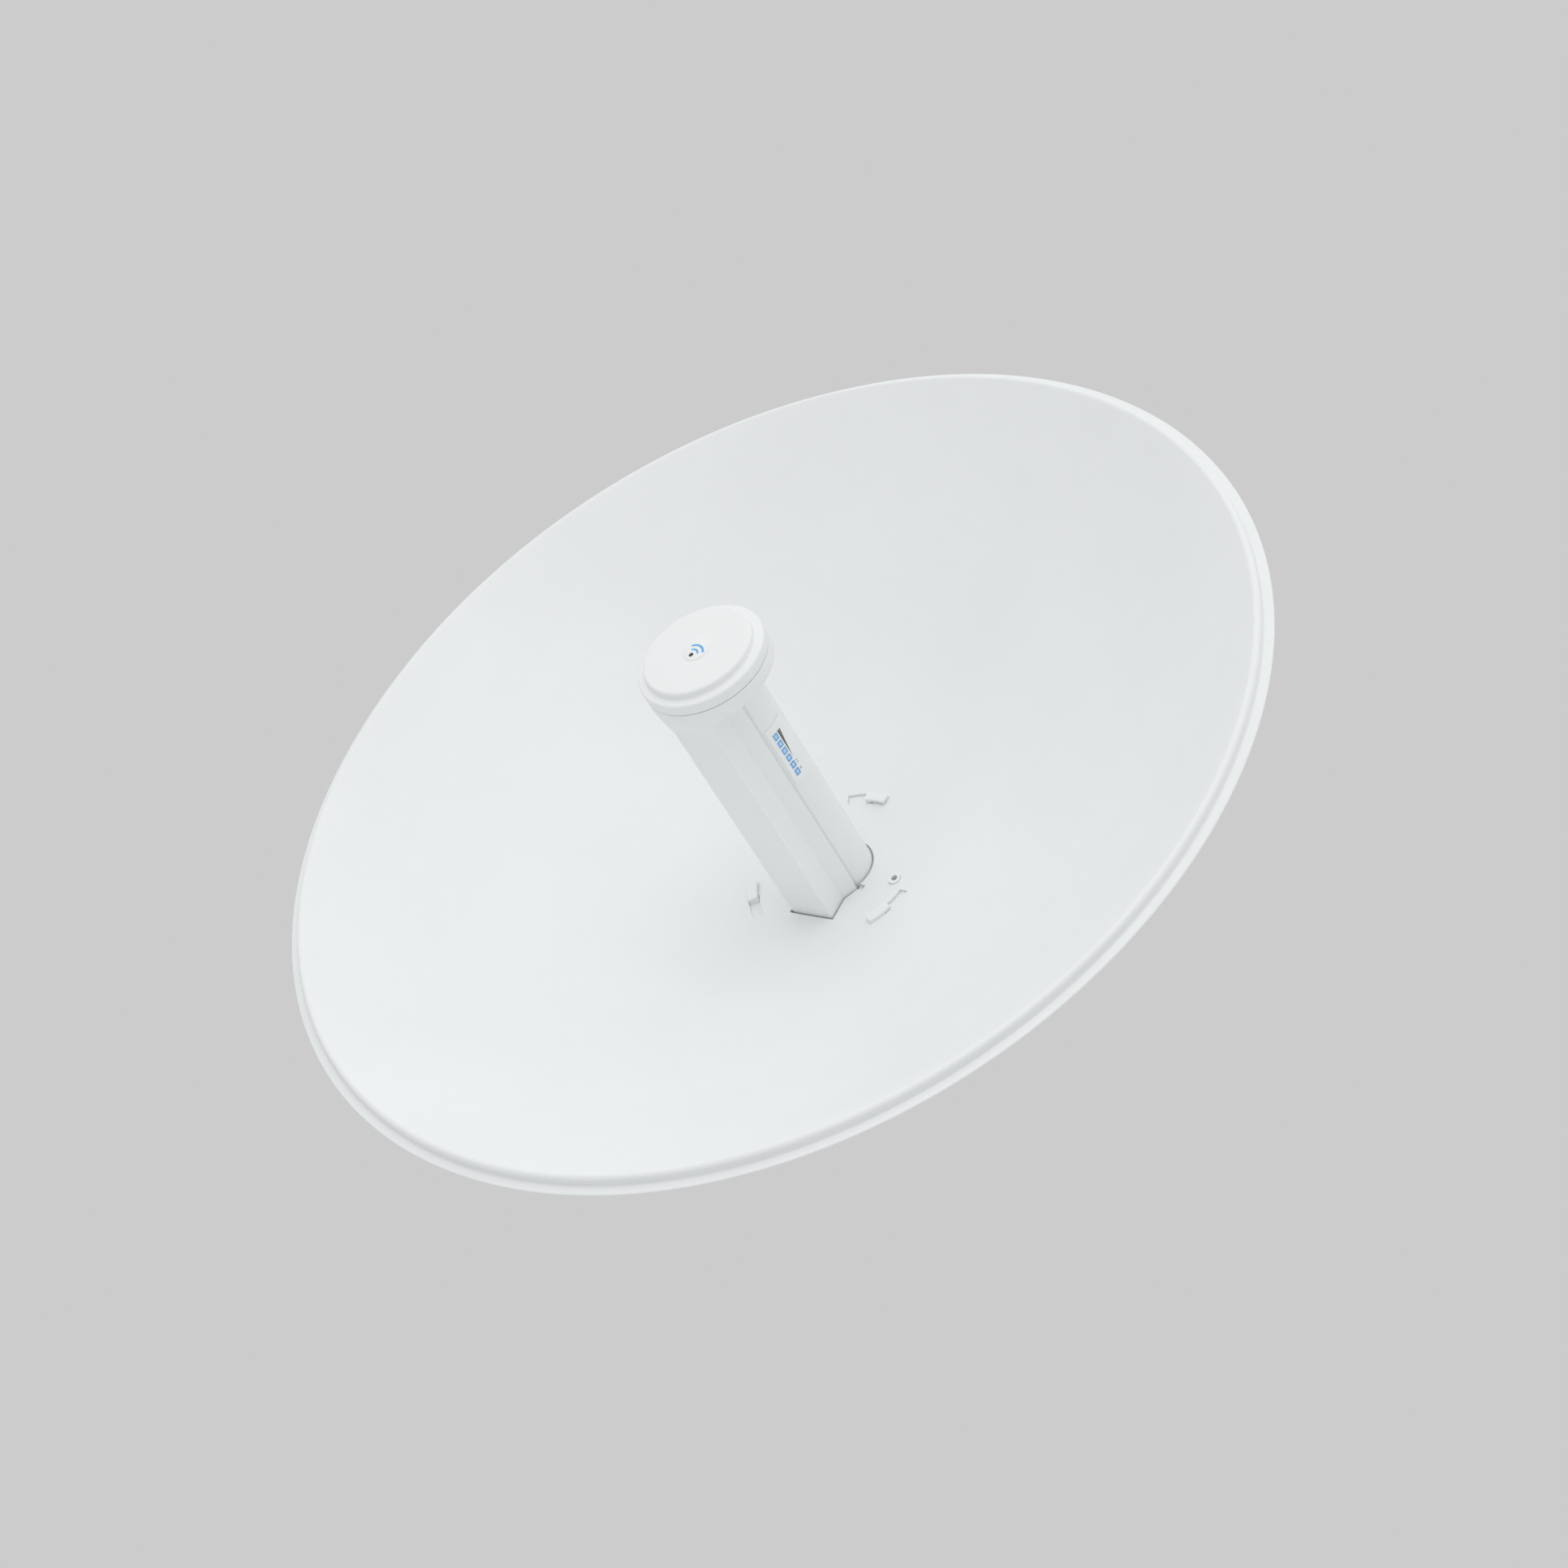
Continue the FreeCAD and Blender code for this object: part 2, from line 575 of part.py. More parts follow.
def bowl_form():
    """The spun sheet: a paraboloid with a rounded crest and an outward flange."""
    focal, edge_r = number("focal_length"), number("bowl_radius")
    centre_r = number("waist_half") / 2
    front, thick = number("vertex"), number("sheet_depth")
    slope_cos, slope_sin = number("edge_cos"), number("edge_sin")
    sheet_t = thick * slope_cos
    crest = number("crest_radius")
    centre = V(0, -number("crest_front"), number("crest_middle"))
    rim_y, rim_r = -number("rim_front"), number("rim_radius")

    def on_bowl(radius, vertex):
        return V(0, -(vertex + radius ** 2 / (4 * focal)), radius)

    def bowl_edge(vertex, last):
        """The parabola as a quadratic curve: its middle pole is where its end tangents meet."""
        first = on_bowl(centre_r, vertex)
        end = on_bowl(last, vertex)
        slope = centre_r / (2 * focal)
        meet = (centre_r + last) / 2
        pole = V(0, first.y - slope * (meet - centre_r), meet)
        curve = Part.BezierCurve()
        curve.setPoles([first, pole, end])
        return curve.toShape()

    def crest_arc(radius, start):
        top = centre + V(0, -radius, 0)
        wall = centre + V(0, 0, radius)
        return Part.Arc(start, centre + (top - centre + wall - centre) * sqrt(0.5), wall).toShape()

    outer_start = on_bowl(edge_r, front)
    inner_start = on_bowl(edge_r + sheet_t * slope_sin, front - thick)
    wall_r = centre.z + crest
    inner_wall_r = centre.z + crest - sheet_t
    corner = 0.5 * (rim_y - centre.y)
    lip = sheet_t / 2
    path = [
        V(0, centre.y, wall_r), V(0, rim_y - corner, wall_r),
        V(0, rim_y, wall_r + corner), V(0, rim_y, rim_r - lip),
        V(0, rim_y + sheet_t, rim_r - lip), V(0, rim_y + sheet_t, inner_wall_r + corner),
        V(0, rim_y + sheet_t - corner, inner_wall_r), V(0, centre.y, inner_wall_r),
    ]
    bend = corner * (1 - sqrt(0.5))
    edges = [
        bowl_edge(front, edge_r),
        crest_arc(crest, outer_start),
        Part.LineSegment(path[0], path[1]).toShape(),
        Part.Arc(path[1], V(0, rim_y - bend, wall_r + bend), path[2]).toShape(),
        Part.LineSegment(path[2], path[3]).toShape(),
        Part.Arc(path[3], V(0, rim_y + lip, rim_r), path[4]).toShape(),
        Part.LineSegment(path[4], path[5]).toShape(),
        Part.Arc(path[5], V(0, rim_y + sheet_t - bend, inner_wall_r + bend), path[6]).toShape(),
        Part.LineSegment(path[6], path[7]).toShape(),
        crest_arc(crest - sheet_t, inner_start),
        bowl_edge(front - thick, inner_start.z),
        Part.LineSegment(on_bowl(centre_r, front), on_bowl(centre_r, front - thick)).toShape(),
    ]
    outline = Part.Wire(Part.__sortEdges__(edges))
    form = doc.addObject("Part::Feature", "bowl_form")
    form.Shape = Part.Face(outline).revolve(V(0, 0, 0), V(0, 1, 0), 360)
    return form


def make_reflector():
    """The bowl with its keyed hole, bayonet windows and eyelet holes."""
    body = new_body("reflector")
    body.BaseFeature = bowl_form()
    doc.recompute()
    through = ("hub_back", "rim_front")
    cut(body, FRONT, [tube_key("key_gap", notched=True)], *through)
    slots = thirds(lambda a: sector("hook_inner - slot_gap", "hook_outer + slot_gap",
                                    a + POST_START - 0.7, a + WINDOW_END))
    cut(body, FRONT, slots, *through)
    bore(body, FRONT, [("eyelet_reach", "0"), ("-eyelet_reach", "0")],
         "eyelet_radius + 0.2", *through)
    return keep(body)


# ---------------------------------------------------------------------------
# Hub behind the bowl
# ---------------------------------------------------------------------------
SCREW_CORNERS = [(f"{sx}hub_screw_side", f"{sz}hub_screw_rise")
                 for sx in ("", "-") for sz in ("", "-")]


def make_hub():
    """Round housing with bayonet hooks, feed socket, latch slot and cable chin."""
    body = new_body("rear_hub")
    spin(body, [
        ("hub_face", "0"), ("hub_face", "cone_start"),
        ("cone_front + cone_slope * (cone_start - contact_radius)", "cone_start"),
        ("flange_front", "hub_flange_radius"),
        ("flange_back", "hub_flange_radius"),
        ("flange_back", "hub_radius"),
        ("hub_back + 2", "hub_radius"),
        ("hub_back", "hub_radius - 2"),
        ("hub_back", "0"),
    ])
    pad(body, FRONT, [box("-chin_half", "-chin_drop", "chin_half", "-hub_radius + 12")],
        "chin_back", "chin_front")
    lugs = [circle("-hinge_front", "-hinge_drop", "door_knuckle")]
    webs = [box("-hinge_front", "-hinge_drop + 0.6", "-chin_front + 0.5",
                "-hinge_drop + door_knuckle - 0.4")]
    for start, end in (("knuckle_half + 0.4", "chin_half"), ("-chin_half", "-knuckle_half - 0.4")):
        pad(body, SIDE, webs, start, end)
        pad(body, SIDE, lugs, start, end)
    bore(body, FRONT, [("0", "0")], "cavity_radius", "cavity_back", "cavity_front")
    bore(body, SIDE, [("-hinge_front", "-hinge_drop")], "door_pin_radius",
         "-chin_half", "chin_half")
    cut(body, FRONT, [tube_key("socket_gap")], "cavity_front - 1", "rim_front")
    cut(body, UP, [box("-well_half", "-well_back - well_depth", "well_half", "-well_back")],
        "-chin_drop", "-cavity_radius / 2")
    cut(body, FRONT, [box("-latch_stem_half - 0.3", "cavity_radius / 2",
                          "latch_stem_half + 0.3", "hub_radius + 5")],
        "latch_back - 0.3", "latch_front + 0.3")
    spin(body, [("hub_face - gasket_depth", "gasket_radius - 0.1"),
                ("hub_face + 10", "gasket_radius - 0.1"),
                ("hub_face + 10", "gasket_radius + gasket_width + 0.1"),
                ("hub_face - gasket_depth", "gasket_radius + gasket_width + 0.1")], "Groove")
    bore(body, FRONT, SCREW_CORNERS, "hub_screw_radius", "hub_back", "cavity_back")
    posts = thirds(lambda a: sector("hook_inner", "hook_outer", a + POST_START, a + POST_END))
    pad(body, FRONT, posts, "hub_face", "hook_top")
    tabs = thirds(lambda a: sector("hook_inner", "hook_outer", a + TAB_START, a + POST_END))
    pad(body, FRONT, tabs, "hook_base", "hook_top")
    eyelets = [("eyelet_reach", "0"), ("-eyelet_reach", "0")]
    pad(body, FRONT, [circle(x, y, "eyelet_radius") for x, y in eyelets],
        "cavity_front + 1", "eyelet_top")
    bore(body, FRONT, eyelets, "eyelet_bore", "cavity_front - 1", "eyelet_top + 1")
    return keep(body)


def make_gasket():
    """Foam ring between hub and bowl."""
    body = new_body("hub_gasket")
    sag = "gasket_radius ^ 2 / (4 * focal_length)"
    spin(body, [("hub_face - gasket_depth", "gasket_radius"),
                (f"sheet_back + {sag}", "gasket_radius"),
                (f"sheet_back + {sag}", "gasket_radius + gasket_width"),
                ("hub_face - gasket_depth", "gasket_radius + gasket_width")])
    return keep(body)


def make_latch():
    """Yoke around the tube's tail: a button on top, a tooth in the tube's notch below."""
    body = new_body("release_latch")
    outside = [
        ("-latch_side - latch_bar", "latch_high + latch_bar"),
        ("-latch_side - latch_bar", "-latch_low + 8"),
        ("-floor_half - 3", "-latch_low - latch_bar"),
        ("floor_half + 3", "-latch_low - latch_bar"),
        ("latch_side + latch_bar", "-latch_low + 8"),
        ("latch_side + latch_bar", "latch_high + latch_bar"),
    ]
    inside = [
        ("-latch_side", "latch_high"),
        ("-latch_side", "-latch_low + 11"),
        ("-floor_half - 1", "-latch_low"),
        ("-latch_tooth_half", "-latch_low"),
        ("-latch_tooth_half", "-floor_drop + latch_bite"),
        ("latch_tooth_half", "-floor_drop + latch_bite"),
        ("latch_tooth_half", "-latch_low"),
        ("floor_half + 1", "-latch_low"),
        ("latch_side", "-latch_low + 11"),
        ("latch_side", "latch_high"),
    ]
    pad(body, FRONT, [outside], "latch_back", "latch_front")
    cut(body, FRONT, [inside], "latch_back", "latch_front")
    pad(body, FRONT, [box("-latch_stem_half", "latch_high + latch_bar - 0.5",
                          "latch_stem_half", "hub_radius + latch_proud")],
        "latch_back", "latch_front")
    round_edges(body, 1.2, lambda edge: runs_along(edge, V(0, 1, 0))
                and middle_of(edge).z > number("hub_radius"))
    return keep(body)


def make_spring():
    """Coil spring that lifts the latch back up."""
    length, radius = number("spring_length"), number("spring_radius")
    wire = number("spring_wire")
    helix = Part.makeHelix((length - 2 * wire) / number("spring_turns"), length - 2 * wire, radius)
    start = Part.Wire(Part.makeCircle(wire, V(radius, 0, 0), V(0, 1, 0)))
    coil = Part.Wire(helix.Edges).makePipeShell([start], True, True)
    spring = doc.addObject("Part::Feature", "latch_spring")
    spring.Label = "latch_spring"
    spring.Shape = coil
    middle = (number("latch_back") + number("latch_front")) / 2
    floor = number("latch_low + latch_bar") + length + 0.1
    spring.Placement = FreeCAD.Placement(V(0, -middle, -floor + wire), FreeCAD.Rotation())
    return keep(spring)


def make_door():
    """Door under the chin, with its hinge knuckle and grommet hole."""
    body = new_body("port_door")
    top, low = "-chin_drop - door_gap", "-chin_drop - door_gap - door_thick"
    pad(body, UP, [box("-chin_half", "-chin_front + 0.6", "chin_half", "-chin_back")], low, top)
    pad(body, UP, [box("-knuckle_half", "-hinge_front", "knuckle_half", "-chin_front + 1")],
        low, top)
    pad(body, SIDE, [circle("-hinge_front", "-hinge_drop", "door_knuckle")],
        "-knuckle_half", "knuckle_half")
    bore(body, SIDE, [("-hinge_front", "-hinge_drop")], "door_pin_radius + running_gap",
         "-knuckle_half", "knuckle_half")
    bore(body, UP, [("0", "-jack_middle")], "grommet_neck", low, top)
    pad(body, UP, [box("-6", "-chin_back", "6", "-chin_back + 2.2")], low, top)
    return keep(body)


def make_door_pin():
    """Hinge pin, held in the chin's lugs."""
    return keep(stack("door_pin", SIDE, [("-hinge_front", "-hinge_drop")],
                      [("round", "door_pin_radius", "-chin_half", "chin_half")]))


def make_grommet():
    """Rubber bush that the network cable passes through."""
    low = "-chin_drop - door_gap - door_thick"
    body = stack("cable_grommet", UP, [("0", "-jack_middle")], [
        ("round", "grommet_flange", f"{low} - grommet_lip", low),
        ("round", "grommet_neck", low, "-chin_drop - door_gap"),
        ("round", "grommet_flange", "-chin_drop - door_gap",
         "-chin_drop - door_gap + grommet_lip")])
    bore(body, UP, [("0", "-jack_middle")], "cable_bore", f"{low} - 5", "-chin_drop + 5")
    return keep(body)


# ---------------------------------------------------------------------------
# Feed tube
# ---------------------------------------------------------------------------
LOW_BOSSES = [("-low_boss_side", "-floor_drop + low_boss_rise"),
              ("low_boss_side", "-floor_drop + low_boss_rise")]
HIGH_BOSSES = [("-high_boss_side", "round_lift + inner_round - high_boss_drop"),
               ("high_boss_side", "round_lift + inner_round - high_boss_drop")]
COLLAR_SCREWS = LOW_BOSSES + HIGH_BOSSES


def is_corner(edge):
    """A long edge of the tube, below the groove."""
    return runs_along(edge, V(0, 1, 0)) and edge.Length > 50


def make_lower_shell():
    """Faceted trough that carries the radio board."""
    body = new_body("feed_lower_shell")
    profile = [("-floor_half", "-floor_drop"), ("floor_half", "-floor_drop"),
               ("waist_half", "-waist_drop"), ("hip_half", "-hip_drop"),
               ("groove_half", "-groove_drop"), ("-groove_half", "-groove_drop"),
               ("-hip_half", "-hip_drop"), ("-waist_half", "-waist_drop")]
    hollow = [("-floor_half + shell_wall", "-floor_drop + shell_wall"),
              ("floor_half - shell_wall", "-floor_drop + shell_wall"),
              ("waist_half - shell_wall", "-waist_drop"),
              ("hip_half - shell_wall", "-hip_drop"),
              ("groove_half - shell_wall", "-groove_drop"),
              ("-groove_half + shell_wall", "-groove_drop"),
              ("-hip_half + shell_wall", "-hip_drop"),
              ("-waist_half + shell_wall", "-waist_drop")]
    pad(body, FRONT, [profile], "tail", "floor_face")
    round_edges(body, "edge_round", lambda edge: is_corner(edge)
                and middle_of(edge).z < -number("groove_drop") - 1)
    cut(body, FRONT, [hollow], "tail + shell_wall", "floor_face")
    ledge_out = "(hip_half - shell_wall)"
    ledges = [box("ledge_reach", "-board_low - ledge_thick", ledge_out, "-board_low"),
              box(f"-{ledge_out}", "-board_low - ledge_thick", "-ledge_reach", "-board_low")]
    pad(body, FRONT, ledges, "jack_front + 6", "floor_face - 10")
    cut(body, UP, [box("-well_half", "-jack_front - 5", "well_half", "-jack_back + 1")],
        "-floor_drop", "-floor_drop + shell_wall + 0.1")
    cut(body, UP, [box("-latch_tooth_half - 0.4", "-latch_front - 0.4",
                       "latch_tooth_half + 0.4", "-latch_back + 0.4")],
        "-floor_drop", "-floor_drop + latch_bite + 0.3")
    blocks = [box(f"{x} - low_boss_half", "-floor_drop + 1",
                  f"{x} + low_boss_half", f"{y} + low_boss_half") for x, y in LOW_BOSSES]
    pad(body, FRONT, blocks, "floor_face - boss_depth", "floor_face")
    bore(body, FRONT, LOW_BOSSES, "small_screw", "floor_face - boss_depth", "floor_face")
    return keep(body)


def make_upper_shell():
    """Round back of the tube."""
    body = new_body("feed_upper_shell")
    profile = [("groove_half", "-groove_drop"), ("shoulder_half", "-shoulder_drop"),
               ("arc", "round_radius", "left"), ("0", "round_lift + round_radius"),
               ("arc", "round_radius", "left"), ("-shoulder_half", "-shoulder_drop"),
               ("-groove_half", "-groove_drop")]
    hollow = [("groove_half - shell_wall", "-groove_drop"), ("inner_shoulder", "-shoulder_drop"),
              ("arc", "inner_round", "left"), ("0", "round_lift + inner_round"),
              ("arc", "inner_round", "left"), ("-inner_shoulder", "-shoulder_drop"),
              ("-groove_half + shell_wall", "-groove_drop")]
    pad(body, FRONT, [profile], "tail", "floor_face")
    cut(body, FRONT, [hollow], "tail + shell_wall", "floor_face")
    windows = [box(f"-rim_front - led_first + led_pitch * {n} - led_half - 0.15", "-led_drop",
                   f"-rim_front - led_first + led_pitch * {n} + led_half + 0.15",
                   "-led_drop + led_height + 0.15") for n in range(int(number("led_count")))]
    cut(body, SIDE, windows, "ledge_reach", "round_radius + 2")
    blocks = [box(f"{x} - high_boss_half", f"{y} - high_boss_low",
                  f"{x} + high_boss_half", f"{y} + high_boss_high") for x, y in HIGH_BOSSES]
    pad(body, FRONT, blocks, "floor_face - boss_depth", "floor_face")
    bore(body, FRONT, HIGH_BOSSES, "small_screw", "floor_face - boss_depth", "floor_face")
    return keep(body)


def make_label():
    """Raised status label with a window for each light."""
    body = new_body("status_label")
    outer = "(round_radius + label_thick)"
    inner = "(round_radius + 0.03)"

    def at(radius, height):
        return (f"sqrt({radius} ^ 2 - ({height} - round_lift) ^ 2)", height)
    outline = [at(inner, "(-label_low)"), at(outer, "(-label_low)"), ("arc", outer, "left"),
               at(outer, "label_high"), at(inner, "label_high"), ("arc", inner, "right")]
    pad(body, FRONT, [outline], "rim_front + label_front - label_length", "rim_front + label_front")
    windows = [box(f"-rim_front - led_first + led_pitch * {n} - led_half - 0.1", "-led_drop - 0.1",
                   f"-rim_front - led_first + led_pitch * {n} + led_half + 0.1",
                   "-led_drop + led_height + 0.1") for n in range(int(number("led_count")))]
    cut(body, SIDE, windows, "ledge_reach", "round_radius + 2")
    return keep(body)


def make_light_pipes():
    """Clear light guides from the board to the label."""
    body = new_body("light_pipes")
    guides = [box(f"-rim_front - led_first + led_pitch * {n} - led_half", "-led_drop",
                  f"-rim_front - led_first + led_pitch * {n} + led_half",
                  "-led_drop + led_height") for n in range(int(number("led_count")))]
    pad(body, SIDE, guides, "ledge_reach", "round_radius - 0.1")
    feet = [box(x0, "-board_drop", x1, "-led_drop")
            for (x0, low), (x1, also_low), *rest in guides]
    pad(body, SIDE, feet, "ledge_reach", "ledge_reach + 2")
    return keep(body)


def make_radio():
    """Radio board, shield can, heat spreader and network jack."""
    board = new_body("radio_board")
    pad(board, UP, [box("-board_half", "-floor_face + 2", "board_half", "-tail - board_tail_gap")],
        "-board_low", "-board_drop")
    board_holes = [(f"{sign}(ledge_reach + board_screw_side)", place) for sign in ("-", "")
                   for place in ("-jack_front - 14", "-floor_face + 16")]
    bore(board, UP, board_holes, "board_screw + board_screw_gap",
         "-board_low - 1", "-board_drop + 1")
    keep(board)

    keep(stack("board_screws", UP, board_holes, [
        ("round", "board_screw", "-board_low - board_screw_bite", "-board_drop"),
        ("round", "board_screw_head", "-board_drop", "-board_drop + board_head_thick")]))
    shell = doc.getObject("feed_lower_shell")
    bore(shell, UP, board_holes, "board_screw", "-board_low - ledge_thick - 0.5", "-board_low + 0.5")

    can = new_body("shield_can")
    can_back = "jack_front + can_ahead"
    can_front = f"{can_back} + shield_length"
    pad(can, UP, [box("-shield_half", f"-({can_front})", "shield_half", f"-({can_back})")],
        "-board_low - shield_height", "-board_low")
    cut(can, UP, [box("-shield_half + shield_wall", f"-({can_front}) + shield_wall",
                      "shield_half - shield_wall", f"-({can_back}) - shield_wall")],
        "-board_low - shield_height + shield_wall", "-board_low")
    keep(can)

    spreader = new_body("heat_spreader")
    pad(spreader, UP, [box("-spreader_half", f"-({can_back}) - spreader_length",
                           "spreader_half", f"-({can_back})")],
        "-board_drop", "-board_drop + spreader_base")
    fins = [box(f"-spreader_half + fin_pitch * {n}", f"-({can_back}) - spreader_length",
                f"-spreader_half + fin_pitch * {n} + fin_thick", f"-({can_back})")
            for n in range(5)]
    pad(spreader, UP, fins, "-board_drop + spreader_base",
        "-board_drop + spreader_base + fin_rise")
    keep(spreader)

    jack = new_body("network_jack")
    pad(jack, UP, [box("-jack_half", "-jack_front", "jack_half", "-jack_back")],
        "-jack_low", "-board_low")
    cut(jack, UP, [box("-mouth_half", "-jack_middle - mouth_depth / 2",
                       "mouth_half", "-jack_middle + mouth_depth / 2")],
        "-jack_low", "-jack_low + mouth_reach")
    keep(jack)

    reset_y = "-jack_front - reset_ahead"
    keep(stack("reset_button", UP, [("0", reset_y)], [
        ("round", "reset_radius", "-jack_low", "-board_low - switch_height - switch_gap - reset_travel")]))
    switch = new_body("reset_switch")
    pad(switch, UP, [box("-switch_half", f"{reset_y} - switch_half",
                         "switch_half", f"{reset_y} + switch_half")],
        "-board_low - switch_height", "-board_low")
    keep(switch)


# ---------------------------------------------------------------------------
# Head of the feed
# ---------------------------------------------------------------------------


def make_collar():
    """Round collar at the tube's front end, flared down to the tube."""
    body = new_body("head_collar")
    spin(body, [
        ("collar_back - flare_depth", "0"),
        ("parting", "0"),
        ("parting", "head_radius"),
        ("collar_back + 1", "head_radius"),
        ("collar_back", "head_radius - 1"),
        ("collar_back - flare_depth * 0.35", "head_radius - 6"),
        ("collar_back - flare_depth", "flare_radius"),
    ])
    bore(body, FRONT, [("0", "0")], "head_radius - collar_wall", "floor_top", "parting")
    cut(body, FRONT, [tube_key("0.1")], "collar_back - flare_depth", "floor_face")
    cut(body, FRONT, [box("-board_half - 1", "-board_low - 1", "board_half + 1", "6")],
        "floor_face", "floor_top")
    bore(body, FRONT, COLLAR_SCREWS, "small_screw + 0.2", "floor_face", "floor_top")
    return keep(body)


def make_cap():
    """Hollow cap: flange, raised disc and a skirt inside the collar."""
    body = new_body("feed_cap")
    spin(body, [
        ("cap_base", "0"), ("cap_top", "0"),
        ("cap_top", "cap_disc - 1"), ("arc", "1", "left"),
        ("cap_top - 1", "cap_disc"),
        ("cap_step + 1", "cap_disc"), ("arc", "1", "right"),
        ("cap_step", "cap_disc + 1"),
        ("cap_step", "head_radius - 1.2"), ("arc", "1.2", "left"),
        ("cap_step - 1.2", "head_radius"),
        ("cap_base", "head_radius"),
    ])
    pad(body, FRONT, [circle("0", "0", "head_radius - collar_wall - 0.2")],
        "cap_base - cap_skirt", "cap_base")
    bore(body, FRONT, [("0", "0")], "cap_disc - cap_wall", "cap_base - cap_skirt",
         "cap_top - cap_wall")
    seal_at = "cap_base - cap_skirt / 2"
    skirt = "head_radius - collar_wall - 0.2"
    spin(body, [(f"{seal_at} - seal_wire", f"{skirt} - 2.2"), (f"{seal_at} + seal_wire", f"{skirt} - 2.2"),
                (f"{seal_at} + seal_wire", f"{skirt} + 1"), (f"{seal_at} - seal_wire", f"{skirt} + 1")],
         "Groove")
    return keep(body)


def make_seal():
    """O-ring in the cap skirt's groove."""
    ring = doc.addObject("Part::Torus", "cap_seal")
    ring.Label = "cap_seal"
    ring.setExpression("Radius1", bind("head_radius - collar_wall - seal_wire - 0.06"))
    ring.setExpression("Radius2", bind("seal_wire - 0.05"))
    ring.setExpression("Placement.Base.y", bind("-(cap_base - cap_skirt / 2)"))
    ring.Placement.Rotation = FreeCAD.Rotation(V(1, 0, 0), 90)
    doc.recompute()
    return keep(ring)


def make_head_inside():
    """Antenna board, spacer, sub-reflector, collar screws and the badge on the cap."""
    antenna_at = "floor_top + 3"
    antenna = stack("antenna_board", FRONT, [("0", "0")],
                    [("round", "antenna_radius", antenna_at, f"{antenna_at} + board_thick")])
    keep(antenna)
    splash_at = "cap_top - cap_wall - splash_thick - 0.1"
    spacer = stack("feed_spacer", FRONT, [("0", "0")],
                   [("round", "spacer_radius", f"{antenna_at} + board_thick", splash_at)])
    bore(spacer, FRONT, [("0", "0")], "spacer_radius - spacer_wall",
         f"{antenna_at} + board_thick", splash_at)
    keep(spacer)
    keep(stack("sub_reflector", FRONT, [("0", "0")],
               [("round", "splash_radius", splash_at, "cap_top - cap_wall - 0.1")]))
    keep(stack("collar_screws", FRONT, COLLAR_SCREWS, [
        ("round", "small_screw", "floor_face - 6", "floor_top"),
        ("round", "small_head", "floor_top", "floor_top + small_head_thick")]))
    keep(stack("cap_badge", FRONT, [("0", "0")],
               [("round", "badge_radius", "cap_top", "cap_top + badge_thick")]))


# ---------------------------------------------------------------------------
# Tilt bracket and pole clamp
# ---------------------------------------------------------------------------
def make_tilt_bracket():
    """Bent sheet: a base on the hub and two ears with arc slots."""
    body = new_body("tilt_bracket")
    pad(body, FRONT, [box("-ear_outside", "-plate_rise", "ear_outside", "plate_rise")],
        "plate_back", "hub_back")
    swing = "slot_radius * sin(tilt_range)"
    foot = "pivot_lift - slot_radius * cos(tilt_range)"
    ear = [
        ("-hub_back", "-plate_rise"), (f"-pivot_front + {swing} - 2", "-plate_rise"),
        (f"-pivot_front + {swing} + lock_lobe", f"{foot} - 6"),
        (f"-pivot_front + {swing} + lock_lobe", f"{foot} + 6"),
        ("-pivot_front + lobe_radius", "pivot_lift - 6"),
        ("-pivot_front + lobe_radius", "pivot_lift + 5"),
        ("-pivot_front + lobe_radius - 7", "pivot_lift + lobe_radius"),
        ("-pivot_front - 5", "pivot_lift + lobe_radius"), ("-hub_back", "plate_rise"),
    ]
    slot_r = "(bolt_radius + slot_slack)"
    outer, inner = f"(slot_radius + {slot_r})", f"(slot_radius - {slot_r})"

    def at(radius, angle):
        return (f"-pivot_front + {radius} * cos({angle})", f"pivot_lift + {radius} * sin({angle})")
    first, last = "(-90 - tilt_range)", "(-90 + tilt_range)"
    slot = [at(inner, first), at(outer, first), ("arc", outer, "left"),
            at(outer, last), at(inner, last), ("arc", inner, "right")]
    slot_ends = [circle(*at("slot_radius", angle), slot_r) for angle in (first, last)]
    hole = circle("-pivot_front", "pivot_lift", "bolt_radius + running_gap")
    for start, end in (("outer_ear", "ear_outside"), ("-ear_outside", "-outer_ear")):
        pad(body, SIDE, [ear], start, end)
        cut(body, SIDE, [slot], start, end)
        cut(body, SIDE, slot_ends + [hole], start, end)
    bore(body, FRONT, SCREW_CORNERS, "hub_screw_radius + 0.3", "plate_back", "hub_back")
    return keep(body)


def make_hub_screws():
    """Four socket screws that hold the tilt bracket on the hub."""
    body = stack("hub_screws", FRONT, SCREW_CORNERS, [
        ("round", "hub_screw_radius", "plate_back", "cavity_back - 0.5"),
        ("round", "hub_screw_head", "plate_back - hub_head_thick", "plate_back")])
    cut(body, FRONT, [hexagon(x, y, "hub_socket_round") for x, y in SCREW_CORNERS],
        "plate_back - hub_head_thick", "plate_back - hub_head_thick + hub_socket_deep")
    return keep(body)


